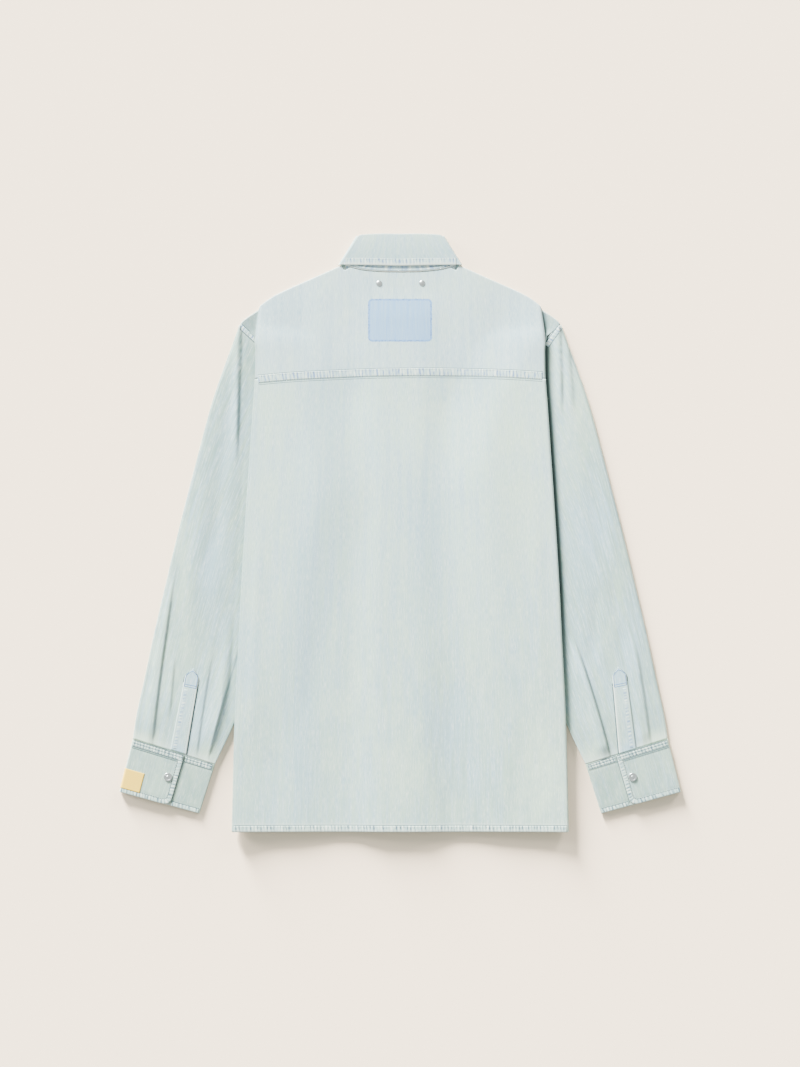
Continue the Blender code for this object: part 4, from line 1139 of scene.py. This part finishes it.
def sew_cuff(side_name, side):
    """The cuff's turned edges, and the rows of stitches inside them and along the sleeve's join."""
    top, under = level_top(CUFF_TOP_Z), level_top(CUFF_UNDER_Z)

    def path(*points):
        return mirrored([cuff_plan(across, up) for across, up in points], side)

    def level(ends, up):
        return path(*((across, up) for across in ends))

    edge_turn = ((0.54, CUFF_EDGE_UP), (0.588, 0.075), (LAP_EDGE, 0.15), (LAP_EDGE, 0.5), (LAP_EDGE, 0.9))
    row_turn = ((0.53, CUFF_ROW_UP), (0.564, 0.115), (LAP_ROW, 0.17), (LAP_ROW, 0.5), (LAP_ROW, 0.86))
    edge = path((0.005, CUFF_EDGE_UP), (0.3, CUFF_EDGE_UP), *edge_turn)
    inner = path((0.01, CUFF_ROW_UP), (0.3, CUFF_ROW_UP), *row_turn)
    lap_join = level((0.01, 0.3, 0.625), CUFF_JOIN_UP)
    bands = (
        ("edge", edge, CUFF_EDGE_HALF, top),
        ("join", lap_join, CUFF_JOIN_HALF, top),
        ("under_edge", level((0.65, 0.99), CUFF_EDGE_UP), CUFF_EDGE_HALF, under),
        ("under_join", level(ON_UNDERLAP, CUFF_JOIN_UP), CUFF_JOIN_HALF, under),
    )
    pieces = [
        seam_band(f"cuff_{side_name}_{label}", at, half, z, 0.28, 0.12, seed + side, 0, DULL_SEAM_CLOTH)
        for seed, (label, at, half, z) in enumerate(bands)
    ]
    top_rows = [level((0.01, 0.3, 0.625), up) for up in (0.995, 0.945, 0.885)]
    top_rows += [inner, level((0.01, 0.3, 0.572), 0.855)]
    under_rows = [level(ON_UNDERLAP, up) for up in (0.99, 0.945, 0.885, CUFF_ROW_UP)]
    under_rows.append(path((0.637, 0.06), (0.637, 0.5), (0.637, 0.995)))
    # Painted shade along the rows of stitches, and along the lap's edge on the underlap.
    lines = [seam_shade_line(at, raised(top, 0.26)) for at in top_rows]
    lines += [seam_shade_line(at, raised(under, 0.26)) for at in under_rows]
    stitches = [stitch_row(inner, raised(top, 0.1))]
    for up in (0.915, 0.968):
        stitches.append(stitch_row(level(ON_LAP, up), raised(top, 0.22)))
        stitches.append(stitch_row(level(ON_UNDERLAP, up), raised(under, 0.22)))
    names = (f"cuff_{side_name}_lines", f"cuff_{side_name}_stitches")
    return pieces + [merged(names[0], lines, SEAM_SHADE), merged(names[1], stitches, THREAD)]


def both_sides(half):
    """A path from its right half, whose first point is on the middle."""
    return [(-x, y) for x, y in half[:0:-1]] + list(half)


def sew_leaf():
    """The collar's puckered edge."""
    top = level_top(height(LEAF_LEVEL) + WALL / 2)
    path = both_sides(((0, 362), (28, 362.6), (54, 363), (75, 363.2)))
    band = seam_band("collar_fall_edge", path, 5.0, top, 0.35, 0.18, 5.0, white_edge=0.9)
    return [band, merged("collar_fall_stitches", [stitch_row(beside(path, 3.4), raised(top, 0.25))], THREAD)]


def sew_stand():
    """Painted shade along the seams of the collar band's visible crescent."""
    top = level_top(height(STAND_LEVEL) + WALL / 2)
    foot = both_sides(((0, 350.6), (28, 351.2), (52, 353.6), (66, 357.2)))
    return [merged("collar_band_lines", [seam_shade_line(beside(foot, away), top) for away in (0, 3.4)], SEAM_SHADE)]


def turned_piece(name, profile, place, base, sides=48):
    """A round metal piece: its profile of radius and height, carried once round Z from its top to its foot."""
    radius, up = np.array(profile[1:-1], float).T[:, :, None]
    angle = np.linspace(0, -2 * math.pi, sides, endpoint=False)
    around = (place[0] + radius * np.cos(angle), place[1] + radius * np.sin(angle), base + up)
    rings = np.stack(np.broadcast_arrays(*around), axis=-1).reshape(-1, 3)
    tips = [(*place, base + profile[end][1]) for end in (0, -1)]
    vertices = np.concatenate([tips[:1], rings, tips[1:]])
    return new_piece(name, vertices, tube_faces(len(profile) - 2, sides), METAL, "snap_metal")


# Profiles, as radius, height.
SNAP_PROFILE = (
    (0, 1.9), (0.8, 1.86), (1.6, 1.72), (2.1, 1.4), (2.5, 1.1), (3.2, 1.05), (3.7, 1.3),
    (4.3, 1.62), (4.9, 1.6), (5.4, 1.3), (5.75, 0.8), (5.7, 0.3), (5.5, 0), (0, 0),
)
STUD_PROFILE = (
    (0, 1.5), (0.9, 1.46), (1.8, 1.3), (2.7, 1.03), (3.4, 0.7), (3.9, 0.36), (4.15, 0.12),
    (4.1, 0), (0, 0),
)


def make_snaps():
    for side_name, side in SIDES:
        place = (side * SNAP_PLACE[0], SNAP_PLACE[1])
        snap = turned_piece(f"cuff_{side_name}_snap_cap", SNAP_PROFILE, place, CUFF_TOP_Z + GAP)
        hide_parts(f"cuff_snap_{side_name}")
    for (side_name, _), place in zip(SIDES, STUD_PLACES):
        base = float(back_middle(np.array(place[0]), np.array(place[1]))) + WALL / 2 + 0.1
        stud = turned_piece(f"yoke_{side_name}_stud", STUD_PROFILE, place, base)
        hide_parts(f"back_stud_{side_name}")


def finish_kept_nodes():
    """The hidden fronts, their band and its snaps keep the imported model's shapes and get real finishes."""
    hidden = denim("bleached_denim_fronts", mapped_flat=True)
    for name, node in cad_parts.items():
        if name.startswith("front_snap"):
            node.material_slots[0].material = METAL
        elif name.startswith("front_"):
            node.material_slots[0].material = hidden


# The floor, the light and the camera.

FLOOR = (0.7125, 0.60, 0.465, 1.0)
FLOOR_HALF = 6000
FLOOR_Z = -0.2
ROOM_COLOUR = (0.93, 1.0, 0.97)
ROOM_STRENGTH = 1.05
# Lamps, as degrees over the floor, degrees to the left of the collar, span, strength.
WINDOW = (20.0, 32.0, 18.0, 23.2)
FLOOR_LAMP_COLOUR = (1.0, 0.929, 0.859)
FLOOR_LAMPS = ((8.0, 25.0, 16.0, 99.4), (9.0, 62.0, 18.0, 11.05), (9.0, -35.0, 18.0, 11.05))


def make_floor():
    settings = {"Base Color": FLOOR, "Roughness": 0.95, "Specular IOR Level": 0.1}
    finish, _, _ = new_finish("pale_floor", settings)
    corners = np.array([(-1, -1, 0), (1, -1, 0), (1, 1, 0), (-1, 1, 0)]) * FLOOR_HALF + (0, 0, FLOOR_Z)
    floor = placed_mesh("pale_floor", corners, [(0, 1, 2, 3)], finish)
    return floor


def make_lamp(name, place, colour, floor, link_state):
    """A broad sun. It lights the floor alone, or all but the floor."""
    over, turn, span, strength = place
    light = bpy.data.lights.new(name, "SUN")
    light.energy, light.color, light.angle = strength, colour, math.radians(span)
    lamp = placed(name, light)
    lamp.rotation_euler = (math.radians(over - 90), 0, math.radians(turn))
    receivers = bpy.data.collections.new(f"{name}_receivers")
    receivers.objects.link(floor)
    receivers.collection_objects[0].light_linking.link_state = link_state
    lamp.light_linking.receiver_collection = receivers


def make_light(floor):
    """An even room, a low window for the shirt, and lower lamps that give the floor its long soft shadow."""
    world = bpy.data.worlds.new("soft_room")
    bpy.context.scene.world = world
    world.use_nodes = True
    background = world.node_tree.nodes["Background"].inputs
    background["Color"].default_value = (*ROOM_COLOUR, 1)
    background["Strength"].default_value = ROOM_STRENGTH
    make_lamp("window", WINDOW, ROOM_COLOUR, floor, "EXCLUDE")
    for index, place in enumerate(FLOOR_LAMPS):
        make_lamp(f"floor_lamp_{index}", place, FLOOR_LAMP_COLOUR, floor, "INCLUDE")


VIEW_HEIGHT = 1.4266  # how much of the floor the frame shows, from top to bottom
VIEW_MIDDLE = (-0.0004, -0.0010)
LENS = 85.0
SENSOR = 36.0


def make_camera():
    camera = bpy.data.cameras.new("camera")
    camera.lens, camera.sensor_width, camera.clip_end = LENS, SENSOR, 20
    bpy.context.scene.camera = placed("camera", camera)
    bpy.context.scene.camera.location = (*VIEW_MIDDLE, VIEW_HEIGHT * LENS / SENSOR + 0.006)


make_camera()
make_light(make_floor())
make_back(sew_back())
make_yoke()
make_collar(sew_leaf(), sew_stand())
for side_label, sign in SIDES:
    make_sleeve(side_label, sign, sew_sleeve(side_label, sign))
    make_sleeve_placket(side_label, sign, sew_placket(side_label, sign))
    make_cuff(side_label, sign, sew_cuff(side_label, sign))
make_label()
make_snaps()
finish_kept_nodes()
